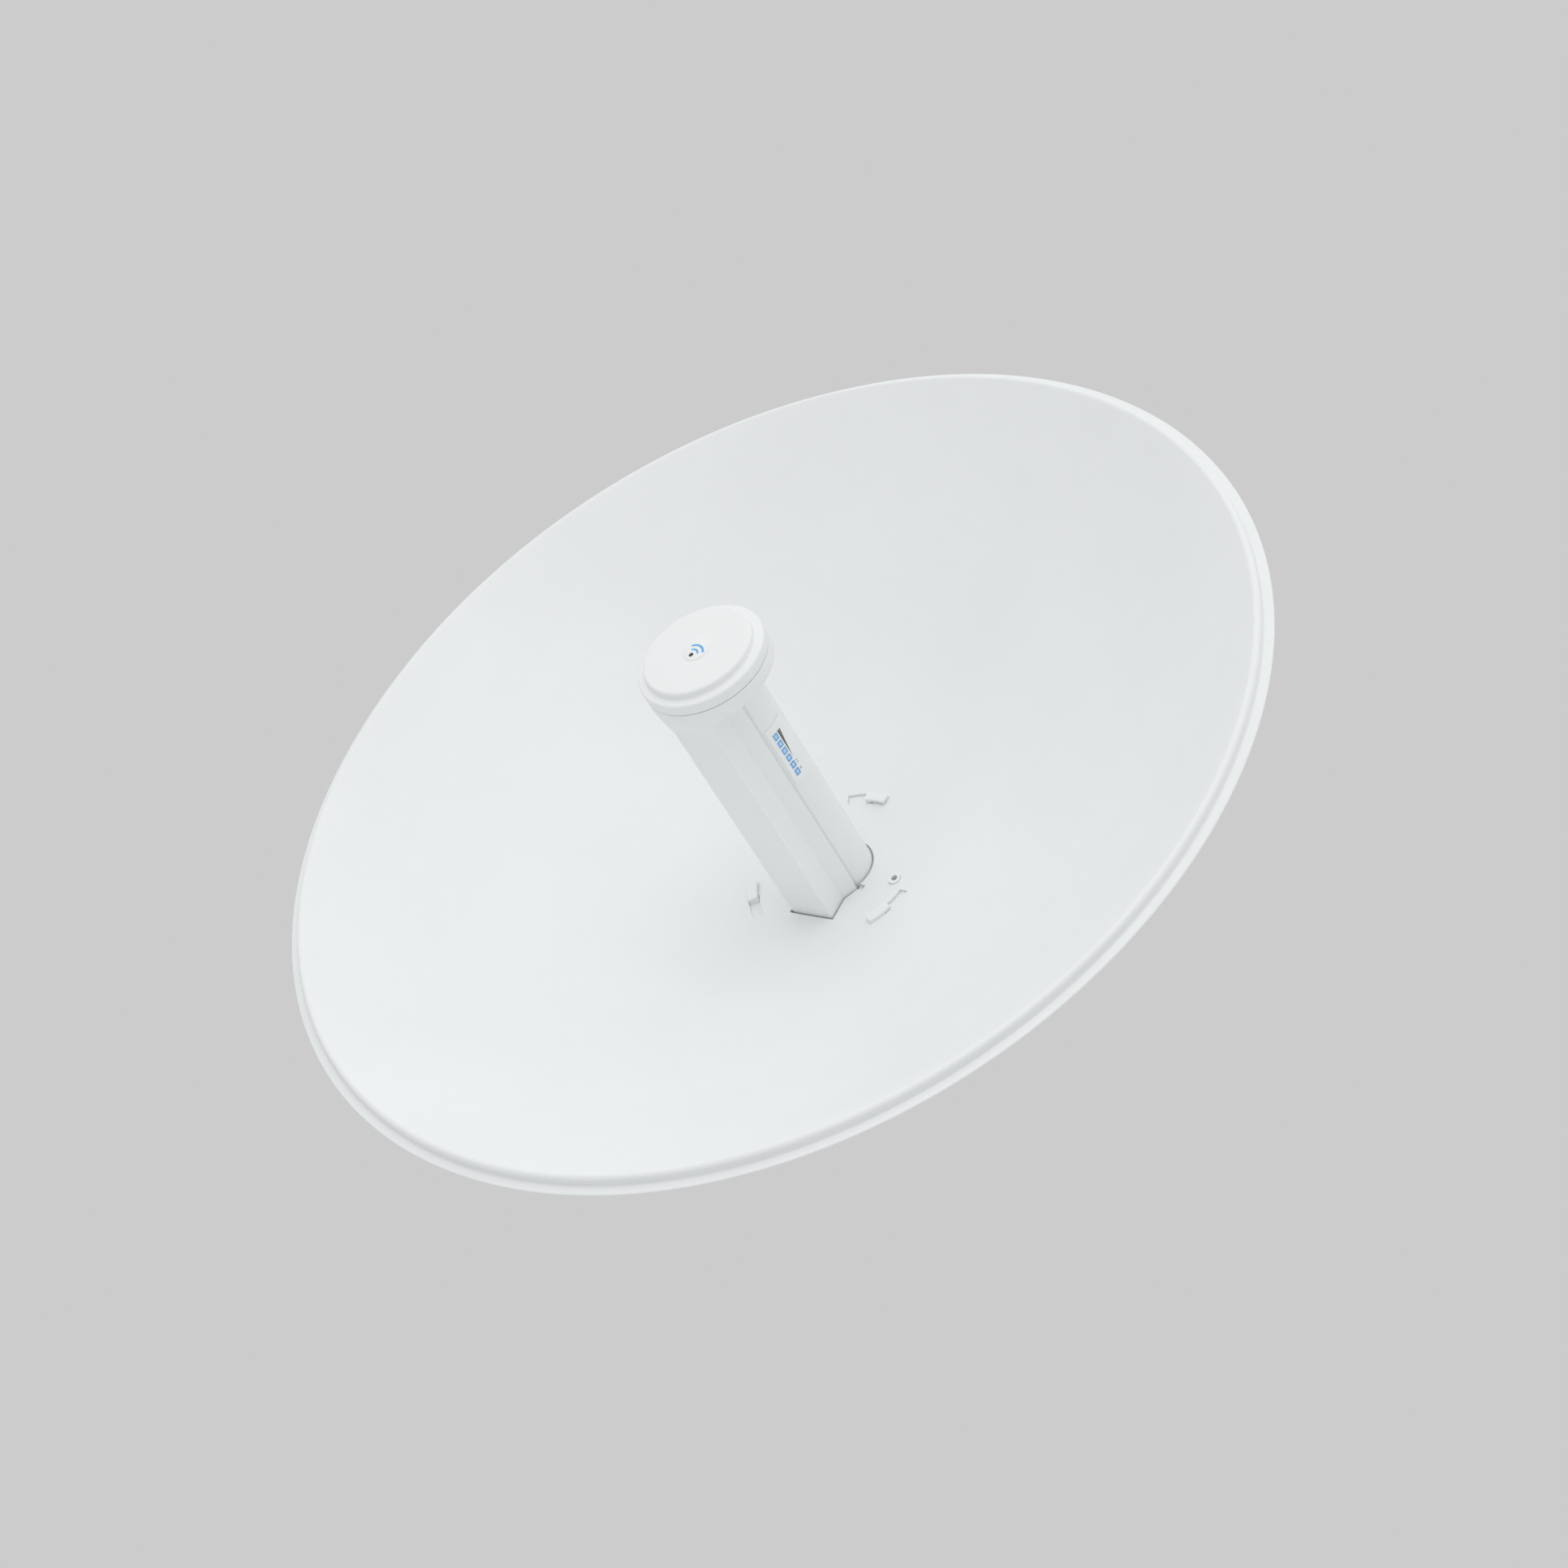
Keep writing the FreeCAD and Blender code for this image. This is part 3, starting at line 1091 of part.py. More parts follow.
def make_pole_bracket():
    """Casting with a round saddle for the pole and two ears for the tilt joint."""
    body = new_body("pole_bracket")
    pad(body, FRONT, [box("-web_half", "-web_rise", "web_half", "web_rise")],
        "web_back", "web_front")
    round_edges(body, "web_round", lambda edge: runs_along(edge, V(0, 1, 0)))
    pad(body, FRONT, [box("-seat_half", "-web_rise + 4", "seat_half", "web_rise - 4")],
        "seat_reach", "web_back")
    ear = [
        ("-web_front + 1", "-web_rise + 6"),
        ("-web_front + 1", "web_rise - 6"),
        ("-pivot_front + 6", "pivot_lift + lobe_radius"),
        ("-pivot_front - 5", "pivot_lift + lobe_radius"),
        ("-pivot_front - lobe_radius", "pivot_lift + 5"),
        ("-pivot_front - lobe_radius", "pivot_lift - 5"),
        ("-pivot_front - lock_lobe", "lock_lift + 4"),
        ("-pivot_front - lock_lobe", "lock_lift - 4"),
        ("-pivot_front - 4", "lock_lift - lock_lobe"),
        ("-pivot_front + 5", "lock_lift - lock_lobe"),
    ]
    holes = [circle("-pivot_front", "pivot_lift", "bolt_radius + 0.1"),
             circle("-pivot_front", "lock_lift", "bolt_radius + 0.1")]
    for start, end in (("ear_half", "ear_half + ear_thick"), ("-ear_half - ear_thick", "-ear_half")):
        pad(body, SIDE, [ear], start, end)
        cut(body, SIDE, holes, start, end)
    bore(body, UP, [("0", "0")], "pole_radius", "-web_rise", "web_rise")
    bore(body, FRONT, [("-clamp_bolt_reach", "0"), ("clamp_bolt_reach", "0")],
         "bolt_radius + bolt_gap", "web_back", "web_front")
    bore(body, FRONT, [("ground_side", "-ground_rise")], "ground_radius", "web_back", "web_front")
    return keep(body)


def make_clamp():
    """Jaw behind the pole, its two bolts with washers, and their flanged nuts."""
    jaw = new_body("clamp_jaw")
    pad(jaw, FRONT, [box("-web_half", "-jaw_rise", "web_half", "jaw_rise")],
        "-web_front", "-web_back")
    round_edges(jaw, "web_round", lambda edge: runs_along(edge, V(0, 1, 0)))
    pad(jaw, FRONT, [box("-seat_half", "-jaw_rise", "seat_half", "jaw_rise")],
        "-web_back", "-seat_reach")
    bore(jaw, UP, [("0", "0")], "pole_radius", "-jaw_rise", "jaw_rise")
    places = [("-clamp_bolt_reach", "0"), ("clamp_bolt_reach", "0")]
    bore(jaw, FRONT, places, "bolt_radius + bolt_gap", "-web_front", "-web_back")
    keep(jaw)
    keep(stack("clamp_bolts", FRONT, places, [
        ("round", "bolt_radius", "-clamp_washer_back", "clamp_nut_front + clamp_bolt_tail"),
        ("hex", "head_round", "-clamp_washer_back - head_thick", "-clamp_washer_back")]))
    washers = stack("clamp_washers", FRONT, places,
                    [("round", "washer_radius", "-clamp_washer_back", "-web_front")])
    bore(washers, FRONT, places, "bolt_radius + bolt_gap", "-clamp_washer_back", "-web_front")
    keep(washers)
    nuts = stack("clamp_nuts", FRONT, places, [
        ("round", "washer_radius", "web_front", "web_front + nut_flange"),
        ("hex", "head_round", "web_front + nut_flange", "clamp_nut_front")])
    bore(nuts, FRONT, places, "bolt_radius + running_gap", "web_front", "clamp_nut_front")
    keep(nuts)


def make_joint_bolts():
    """Tilt and locking bolts with their nuts, washers and spacer tubes."""
    pivot, lock = ("-pivot_front", "pivot_lift"), ("-pivot_front", "lock_lift")
    outside = "(ear_outside + 0.1)"
    washed = f"({outside} + washer_thick)"
    for name, place in (("tilt", pivot), ("lock", lock)):
        keep(stack(f"{name}_bolt", SIDE, [place], [
            ("round", "bolt_radius", f"-{washed}", f"{washed} + nut_thick + 2"),
            ("hex", "head_round", f"-{washed} - head_thick", f"-{washed}")]))
        washers = new_body(f"{name}_washers")
        pad(washers, SIDE, [circle(*place, "washer_radius")], outside, washed)
        pad(washers, SIDE, [circle(*place, "washer_radius")], f"-{washed}", f"-{outside}")
        bore(washers, SIDE, [place], "bolt_radius + 0.1", f"-{washed}", washed)
        keep(washers)
        nut = stack(f"{name}_nut", SIDE, [place],
                    [("hex", "head_round", washed, f"{washed} + nut_thick")])
        bore(nut, SIDE, [place], "bolt_radius", washed, f"{washed} + nut_thick")
        keep(nut)
        tube = stack(f"{name}_spacer", SIDE, [place],
                     [("round", "bush_radius", "-ear_half", "ear_half")])
        bore(tube, SIDE, [place], "bolt_radius + 0.1", "-ear_half", "ear_half")
        keep(tube)


def make_ground_screw():
    """Ground screw on the pole bracket."""
    place = [("ground_side", "-ground_rise")]
    body = stack("ground_screw", FRONT, place, [
        ("round", "ground_radius", "web_back + 0.5", "web_front"),
        ("round", "ground_flange", "web_front", "web_front + ground_flange_thick"),
        ("hex", "ground_head", "web_front + ground_flange_thick",
         "web_front + ground_flange_thick + ground_head_thick")])
    return keep(body)


def build():
    """Make every sub-part."""
    make_reflector()
    make_hub()
    make_gasket()
    make_latch()
    make_spring()
    make_door()
    make_door_pin()
    make_grommet()
    make_lower_shell()
    make_upper_shell()
    make_label()
    make_light_pipes()
    make_radio()
    make_collar()
    make_cap()
    make_seal()
    make_head_inside()
    make_tilt_bracket()
    make_hub_screws()
    make_pole_bracket()
    make_clamp()
    make_joint_bolts()
    make_ground_screw()
    doc.recompute()


def check():
    """Stop on any failed object or bad solid."""
    for item in doc.Objects:
        if {"Invalid", "Error"} & set(item.State):
            raise ValueError(f"{item.Label} failed: {item.State}")
    for piece in PIECES:
        shape = piece.Shape
        if shape.isNull() or not shape.isValid() or not shape.Solids:
            raise ValueError(f"{piece.Label} is not a sound solid")


def write():
    """Write each sub-part to its own file."""
    os.makedirs(PARTS, exist_ok=True)
    for piece in PIECES:
        piece.Shape.exportStep(os.path.join(PARTS, piece.Label + ".step"))
        print(f"{piece.Label:18s} {len(piece.Shape.Solids):3d} solids "
              f"{piece.Shape.Volume / 1000:9.2f} cm3")


build()
check()
write()
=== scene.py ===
"""The looks of a dish antenna with a radio in its feed, built round its CAD frame. Metres."""
import json
from math import asin, atan, atan2, cos, degrees, pi, radians, sin, sqrt

import bmesh
import bpy
from mathutils import Matrix, Vector


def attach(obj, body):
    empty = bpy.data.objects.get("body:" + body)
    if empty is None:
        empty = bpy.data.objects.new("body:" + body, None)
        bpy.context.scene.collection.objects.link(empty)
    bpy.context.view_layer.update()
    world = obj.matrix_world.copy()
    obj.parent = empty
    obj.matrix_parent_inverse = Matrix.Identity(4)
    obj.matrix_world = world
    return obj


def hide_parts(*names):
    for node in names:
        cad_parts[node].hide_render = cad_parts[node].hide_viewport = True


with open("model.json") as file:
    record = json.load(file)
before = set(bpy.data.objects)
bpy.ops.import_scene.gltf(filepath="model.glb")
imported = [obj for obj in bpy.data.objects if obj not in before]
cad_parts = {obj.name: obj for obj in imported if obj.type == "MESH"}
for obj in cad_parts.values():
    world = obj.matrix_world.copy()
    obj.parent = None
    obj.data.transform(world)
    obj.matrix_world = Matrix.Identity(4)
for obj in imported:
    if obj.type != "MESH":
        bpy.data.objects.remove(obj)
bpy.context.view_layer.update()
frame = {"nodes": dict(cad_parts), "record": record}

MM = 0.001
nodes = frame["nodes"]


# ---------------------------------------------------------------------------
# Shader expressions
# ---------------------------------------------------------------------------
class Flow:
    """A value in a material. Arithmetic on it adds Math nodes."""

    def __init__(self, finish, socket):
        self.finish = finish
        self.socket = socket

    def maths(self, operation, first, second):
        made = self.finish.node("ShaderNodeMath", {"operation": operation}, {0: first, 1: second})
        return Flow(self.finish, made.outputs[0])

    def __add__(self, other):
        return self.maths("ADD", self, other)

    def __radd__(self, other):
        return self.maths("ADD", other, self)

    def __sub__(self, other):
        return self.maths("SUBTRACT", self, other)

    def __rsub__(self, other):
        return self.maths("SUBTRACT", other, self)

    def __mul__(self, other):
        return self.maths("MULTIPLY", self, other)

    def __gt__(self, other):
        return self.maths("GREATER_THAN", self, other)

    def __lt__(self, other):
        return self.maths("LESS_THAN", self, other)

    def wrapped(self, period):
        """The remainder after whole periods, never negative."""
        return self.maths("FLOORED_MODULO", self, period)


class Finish:
    """One procedural material, fed through its Principled shader."""

    def __init__(self, name, **constants):
        self.material = bpy.data.materials.new(name)
        self.material.use_nodes = True
        self.tree = self.material.node_tree
        self.shader = self.tree.nodes["Principled BSDF"]
        for socket, value in constants.items():
            self.shader.inputs[socket.replace("_", " ")].default_value = value
        self.place = self.node("ShaderNodeTexCoord").outputs["Object"]

    def node(self, kind, settings=None, inputs=None):
        """Add a node: its settings first, then the values or links of its sockets."""
        made = self.tree.nodes.new(kind)
        for name, value in (settings or {}).items():
            setattr(made, name, value)
        for key, value in (inputs or {}).items():
            self.feed(made.inputs[key], value)
        return made

    def feed(self, socket, value):
        """Link a flow or an output to a socket, or set the socket's value."""
        if isinstance(value, Flow):
            self.tree.links.new(value.socket, socket)
        elif isinstance(value, bpy.types.NodeSocket):
            self.tree.links.new(value, socket)
        else:
            socket.default_value = value

    def give(self, name, value):
        """Feed a socket of the shader."""
        self.feed(self.shader.inputs[name], value)

    def stretched(self, x, y, z):
        """The object coordinates, scaled along each axis."""
        return self.node("ShaderNodeMapping", {}, {"Vector": self.place, "Scale": (x, y, z)}).outputs[0]

    def noise(self, scale, detail=2.0, roughness=0.5, place=None):
        """A soft random value round 0.5. The scale is in features per metre."""
        made = self.node("ShaderNodeTexNoise", {}, {
            "Vector": place or self.place, "Scale": scale, "Detail": detail, "Roughness": roughness})
        return Flow(self, made.outputs[0])

    def cells(self, scale):
        """The distance to the nearest of many scattered points."""
        made = self.node("ShaderNodeTexVoronoi", {"feature": "F1"}, {
            "Vector": self.place, "Scale": scale})
        return Flow(self, made.outputs["Distance"])

    def axis(self, name):
        """One of the object coordinates, in metres."""
        split = self.node("ShaderNodeSeparateXYZ", {}, {0: self.place})
        return Flow(self, split.outputs[name])

    def remap(self, value, low, high, start, end):
        """A value from one range to another, held at both ends."""
        made = self.node("ShaderNodeMapRange", {"clamp": True}, {
            0: value, 1: low, 2: high, 3: start, 4: end})
        return Flow(self, made.outputs[0])

    def blend(self, first, second, factor):
        """A colour between two colours."""
        made = self.node("ShaderNodeMix", {"data_type": "RGBA"}, {0: factor, 6: first, 7: second})
        return Flow(self, made.outputs[2])

    def relief(self, height, depth):
        """Raise the surface by a height of 0 to 1, times a depth in metres."""
        bump = self.node("ShaderNodeBump", {}, {"Height": height, "Distance": depth, "Strength": 1.0})
        self.give("Normal", bump.outputs[0])


def rgb(red, green, blue):
    """A colour from eight-bit screen values."""
    def linear(value):
        share = value / 255
        return share / 12.92 if share <= 0.04045 else ((share + 0.055) / 1.055) ** 2.4
    return (linear(red), linear(green), linear(blue), 1.0)


# ---------------------------------------------------------------------------
# Finishes
# ---------------------------------------------------------------------------
def coat(name, clean, worn, grain, depth, roughness):
    """Paint or moulded plastic: a faint large-scale drift, a fine grain, uneven gloss."""
    finish = Finish(name)
    drift = finish.noise(9.0, 3.0, 0.6)
    fine = finish.noise(grain, 2.0, 0.55)
    finish.give("Base Color", finish.blend(clean, worn, finish.remap(drift, 0.35, 0.75, 0.0, 1.0)))
    finish.give("Roughness", roughness + (finish.noise(60.0, 2.0) - 0.5) * 0.10 + (fine - 0.5) * 0.06)
    finish.relief(fine, depth)
    return finish


def plated(name, clean, dull, roughness, brushed=(1, 1, 1)):
    """Plated or bare metal: faint cloudy patches and fine drawn lines."""
    finish = Finish(name, Metallic=1.0)
    clouds = finish.noise(160.0, 3.0, 0.6)
    lines = finish.noise(900.0, 3.0, 0.6, finish.stretched(*brushed))
    finish.give("Base Color", finish.blend(clean, dull, finish.remap(clouds, 0.35, 0.7, 0.0, 1.0)))
    finish.give("Roughness", roughness + (clouds - 0.5) * 0.22 + (lines - 0.5) * 0.12)
    finish.relief(lines, 0.00002)
    return finish


def board_finish():
    """Green solder mask over a web of tracks, with plated pads."""
    finish = Finish("circuit_board", Coat_Weight=0.4, Coat_Roughness=0.2)
    across, along = finish.axis("X"), finish.axis("Y")
    tracks = (across.wrapped(0.0021) < 0.0006) * (finish.noise(90.0, 0.0) > 0.48)
    lanes = (along.wrapped(0.0034) < 0.0005) * (finish.noise(70.0, 0.0) > 0.55)
    pads = finish.cells(330.0) < 0.16
    mask = finish.blend(rgb(18, 74, 48), rgb(30, 104, 66), tracks + lanes)
    finish.give("Base Color", finish.blend(mask, rgb(205, 196, 160), pads))
    finish.give("Roughness", 0.42 - pads * 0.12)
    finish.give("Metallic", pads * 0.9)
    finish.relief(tracks + lanes + pads, 0.00003)
    return finish


def glow_finish():
    """Clear light guide: two blues, blended by a soft noise."""
    finish = Finish("light_guide", Coat_Weight=0.3)
    cloud = finish.noise(500.0, 2.0)
    finish.give("Base Color", finish.blend(rgb(98, 170, 228), rgb(120, 190, 238), cloud))
    finish.give("Roughness", 0.3 + cloud * 0.1)
    return finish


finishes = {
    "coated_sheet": coat("powder_coat", rgb(240, 242, 243), rgb(237, 239, 240), 900.0, 0.00003, 0.46),
    "white_plastic": coat("white_plastic", rgb(241, 243, 243), rgb(238, 240, 240), 2400.0, 0.00003, 0.50),
    "grey_plastic": coat("grey_plastic", rgb(150, 154, 156), rgb(138, 142, 145), 2400.0, 0.00004, 0.52),
    "dark_plastic": coat("dark_plastic", rgb(40, 41, 43), rgb(52, 53, 54), 2400.0, 0.00003, 0.45),
    "dark_rubber": coat("dark_rubber", rgb(38, 38, 40), rgb(54, 53, 52), 1500.0, 0.00006, 0.78),
    "label_film": coat("label_film", rgb(243, 245, 244), rgb(240, 242, 241), 1200.0, 0.00001, 0.38),
    "badge_film": coat("badge_film", rgb(244, 246, 245), rgb(241, 243, 242), 1200.0, 0.00001, 0.38),
    "light_guide": glow_finish(),
    "circuit_board": board_finish(),
    "tinned_steel": plated("tinned_steel", rgb(196, 198, 196), rgb(170, 172, 170), 0.34, (1, 8, 8)),
    "bare_aluminium": plated("bare_aluminium", rgb(206, 208, 210), rgb(186, 188, 190), 0.36, (8, 1, 8)),
    "zinc_steel": plated("zinc_steel", rgb(190, 194, 198), rgb(160, 163, 166), 0.36),
    "spring_steel": plated("spring_steel", rgb(178, 179, 180), rgb(150, 150, 150), 0.28, (1, 8, 1)),
    "coated_steel": coat("coated_steel", rgb(232, 234, 235), rgb(226, 228, 229), 700.0, 0.00004, 0.48),
    "coated_casting": coat("coated_casting", rgb(178, 181, 183), rgb(166, 169, 171), 420.0, 0.00012, 0.58),
    "yellow_brass": plated("yellow_brass", rgb(206, 178, 104), rgb(176, 150, 84), 0.34),
    "ink_blue": coat("ink_blue", rgb(104, 180, 236), rgb(92, 168, 228), 1500.0, 0.00001, 0.42),
    "ink_dark": coat("ink_dark", rgb(40, 42, 44), rgb(52, 54, 56), 1500.0, 0.00001, 0.42),
    "ink_grey": coat("ink_grey", rgb(104, 106, 106), rgb(118, 120, 120), 1500.0, 0.00001, 0.42),
    "ink_light": coat("ink_light", rgb(106, 172, 232), rgb(96, 160, 222), 1500.0, 0.00001, 0.42),
    "ink_heart": coat("ink_heart", rgb(190, 220, 248), rgb(180, 212, 244), 1500.0, 0.00001, 0.42),
}

for part in frame["record"]["subparts"]:
    node = nodes[part["node"]]
    for place in range(len(node.data.materials)):
        node.data.materials[place] = finishes[part["material_slot"]].material


# ---------------------------------------------------------------------------
# Forms
# ---------------------------------------------------------------------------
# Millimetres. "Front" distances lie along -Y, from the pole's axis.
VERTEX, FOCAL, SHEET = 137.1, 190.8, 1.6
BOWL_EDGE, CREST, CREST_FRONT, CREST_MIDDLE = 312.3, 2.8, 262.72, 314.07
RIM_FRONT, RIM_RADIUS = 259.72, 323.07
PARTING, CAP_BASE, CAP_STEP, CAP_TOP = 332.8, 333.3, 340.8, 345.6
HEAD, DISC, HEAD_BORE = 40.9, 35.2, 37.8
COLLAR_END, COLLAR_TURN, FLOOR_FACE, FLOOR_TOP = 310.0, 327.0, 321.8, 324.8
ROUND, LIFT, LABEL = 21.0, 3.3, 0.6
FIRST_LIGHT, LIGHT_PITCH, LIGHT_HEIGHT = RIM_FRONT + 12.0, 6.3, -1.0
TUBE_SIDE = [(15.9, -35.4), (14.4, -19.5), (19.6, -10.4)]
SHOULDER_DROP = 6.2                             # where the tube's round back ends, below the axis
FLOOR_LEVEL = -30                               # points of the tube's section below this are its floor
SOCKET_GAP = 1.3                                # bowl's hole round the tube
NOTCH_REACH, NOTCH_LOW, NOTCH_HIGH = 24.8, -10.4, -7.0
WINDOW_INNER, WINDOW_OUTER, WINDOW_FIRST, WINDOW_LAST = 53.8, 60.8, 2.8, 22.0
WINDOW_PLACES = (90, 210, 330)
EYELET_REACH, EYELET_HOLE = 44.8, 4.3
THROUGH = (100, 200)                            # cutters pass the sheet between these places
SKIRT, SKIRT_GROOVE, CAP_BORE, CAP_WALL = 37.6, 35.4, 33.0, 2.2
GROOVE_FRONT, GROOVE_BACK, SKIRT_BACK = 331.4, 329.2, 327.3
BADGE = 8.9
INK, HEART_INK = 0.04, 0.07                     # films above the label
POWER_MARK = 31.6                               # power mark behind the first light


def at(x, front, z):
    """A place in millimetres, as a point of the frame in metres."""
    return Vector((x * MM, -front * MM, z * MM))


def arc(middle, radius, first, last, steps):
    """Points on an arc, between two angles in degrees."""
    turns = [radians(first + (last - first) * step / steps) for step in range(steps + 1)]
    return [(middle[0] + radius * cos(turn), middle[1] + radius * sin(turn)) for turn in turns]


def spun(outline, steps=192, closed=True):
    """Turn an outline of (front, radius) points about the dish's axis."""
    mesh = bmesh.new()
    verts = [mesh.verts.new(at(0, front, radius)) for front, radius in outline]
    pairs = list(zip(verts, verts[1:])) + ([(verts[-1], verts[0])] if closed else [])
    edges = [mesh.edges.new(pair) for pair in pairs]
    bmesh.ops.spin(mesh, geom=verts + edges, cent=(0, 0, 0), axis=(0, 1, 0), angle=2 * pi,
                   steps=steps, use_merge=True)
    bmesh.ops.remove_doubles(mesh, verts=mesh.verts, dist=1e-6)
    bmesh.ops.dissolve_degenerate(mesh, edges=mesh.edges, dist=1e-7)
    bmesh.ops.recalc_face_normals(mesh, faces=mesh.faces)
    return mesh


def soften_ring(mesh, front, radius, size, segments=4):
    """Round the circular edge at a front distance and a radius."""
    def on_ring(vert):
        return (abs(-vert.co.y / MM - front) < 0.01
                and abs(sqrt(vert.co.x ** 2 + vert.co.z ** 2) / MM - radius) < 0.05)
    ring = [edge for edge in mesh.edges if all(on_ring(vert) for vert in edge.verts)]
    bmesh.ops.bevel(mesh, geom=ring, offset=size * MM, segments=segments, profile=0.5,
                    affect="EDGES", material=-1)


def bar(outline, start, end):
    """A solid bar along the axis, from an outline of (x, z) points."""
    mesh = bmesh.new()
    face = mesh.faces.new([mesh.verts.new(at(x, start, z)) for x, z in outline])
    grown = bmesh.ops.extrude_face_region(mesh, geom=[face])["geom"]
    moved = [item for item in grown if isinstance(item, bmesh.types.BMVert)]
    bmesh.ops.translate(mesh, verts=moved, vec=(0, (start - end) * MM, 0))
    bmesh.ops.recalc_face_normals(mesh, faces=mesh.faces)
    return mesh


def tube_outline(gap, notched=False):
    """The feed tube's section as (x, z) points, widened by a gap."""
    right = [(x + gap, z - (gap if z < FLOOR_LEVEL else 0)) for x, z in TUBE_SIDE]
    right += [(NOTCH_REACH, NOTCH_LOW), (NOTCH_REACH, NOTCH_HIGH)] if notched else []
    left = [(-x, z) for x, z in reversed(right)]
    radius = ROUND + gap
    tilt = -degrees(asin((LIFT + SHOULDER_DROP) / radius))
    return right + arc((0, LIFT), radius, tilt, 180 - tilt, 40) + left


def window(middle):
    """One bayonet window in the bowl, as (x, z) points. It begins a little past its angle."""
    first, last = middle + WINDOW_FIRST, middle + WINDOW_LAST
    return arc((0, 0), WINDOW_INNER, first, last, 10) + arc((0, 0), WINDOW_OUTER, last, first, 10)


def link(name, mesh):
    """An object of the scene, made from a mesh in progress."""
    data = bpy.data.meshes.new(name)
    mesh.to_mesh(data)
    mesh.free()
    made = bpy.data.objects.new(name, data)
    bpy.context.scene.collection.objects.link(made)
    return made


def carved(mesh, cutters):
    """What is left of a form when solid cutters are taken away."""
    form = link("form", mesh)
    tools = [link("cutter", cutter) for cutter in cutters]
    for tool in tools:
        step = form.modifiers.new("hole", "BOOLEAN")
        step.object = tool
        step.solver = "EXACT"
    left = bmesh.new()
    left.from_object(form, bpy.context.evaluated_depsgraph_get())
    for used in [form, *tools]:
        bpy.data.objects.remove(used)
    bmesh.ops.remove_doubles(left, verts=left.verts, dist=1e-6)
    return left


def finish_piece(name, mesh, body, coat_name, *stands_for, crease=32, soften=0.0):
    """Turn a mesh in progress into a finished piece that rides on a body."""
    made = link(name, mesh)
    for face in made.data.polygons:
        face.use_smooth = True
    made.data.set_sharp_from_angle(angle=radians(crease))
    made.data.materials.append(finishes[coat_name].material)
    if soften:
        edge = made.modifiers.new("edge", "BEVEL")
        edge.width = soften * MM
        edge.segments = 3
        edge.limit_method = "ANGLE"
        edge.angle_limit = radians(crease)
        edge.harden_normals = True
    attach(made, body)
    not coat_name.startswith("ink_")
    if stands_for:
        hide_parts(*stands_for)
    return made


def softened_copy(node_name, body, coat_name, soften):
    """A merged copy of a CAD node, with rounded edges."""
    mesh = bmesh.new()
    mesh.from_mesh(nodes[node_name].data)
    bmesh.ops.remove_doubles(mesh, verts=mesh.verts, dist=1e-6)
    bmesh.ops.dissolve_limit(mesh, angle_limit=radians(0.6), verts=mesh.verts, edges=mesh.edges,
                             use_dissolve_boundaries=False, delimit={"NORMAL"})
    return finish_piece(f"{node_name}_finished", mesh, body, coat_name, node_name, soften=soften)


# ---------------------------------------------------------------------------
# Bowl
# ---------------------------------------------------------------------------
def make_bowl():
    """Spun sheet with a rolled crest, a step and a flat flange, pierced for the feed."""
    radii = [10, 24, 38, 50] + [64 + 14.6 * step for step in range(17)] + [305.0]
    slope = -degrees(atan(BOWL_EDGE / (2 * FOCAL)))

    def curve(back):
        return [(VERTEX - back + radius ** 2 / (4 * FOCAL), radius) for radius in radii]
    middle = (CREST_FRONT, CREST_MIDDLE)
    face = curve(0) + arc(middle, CREST, slope, 90, 12)
    face += [(RIM_FRONT + 0.9, CREST_MIDDLE + CREST), (RIM_FRONT + 0.3, CREST_MIDDLE + CREST + 0.25),
             (RIM_FRONT, CREST_MIDDLE + CREST + 0.9)]
    lip = arc((RIM_FRONT - SHEET / 2, RIM_RADIUS - SHEET / 2), SHEET / 2, 0, 180, 8)
    rear = [(RIM_FRONT - SHEET, CREST_MIDDLE + CREST - 0.6)]
    rear += arc(middle, CREST - 1.24, 90, slope, 8) + list(reversed(curve(SHEET)))
    sheet = spun(face + lip + rear, steps=288)
    cutters = [bar(tube_outline(SOCKET_GAP, notched=True), *THROUGH)]
    cutters += [bar(window(place), *THROUGH) for place in WINDOW_PLACES]
    cutters += [bar(arc((x, 0), EYELET_HOLE, 0, 345, 23), *THROUGH)
                for x in (-EYELET_REACH, EYELET_REACH)]
    return finish_piece("bowl", carved(sheet, cutters), "dish", "coated_sheet", "reflector", crease=50)


# ---------------------------------------------------------------------------
# Feed
# ---------------------------------------------------------------------------
def tube_reach(turn):
    """The tube's surface from the axis, in millimetres, in a direction given in radians."""
    outline = tube_outline(0.0)
    ray = Vector((cos(turn), sin(turn)))
    for first, last in zip(outline, outline[1:] + outline[:1]):
        start, step = Vector(first), Vector(last) - Vector(first)
        across = ray.x * step.y - ray.y * step.x
        if abs(across) > 1e-9:
            reach = (start.x * step.y - start.y * step.x) / across
            share = (start.x * ray.y - start.y * ray.x) / across
            if reach > 0 and -1e-6 <= share <= 1 + 1e-6:
                return reach
    return ROUND


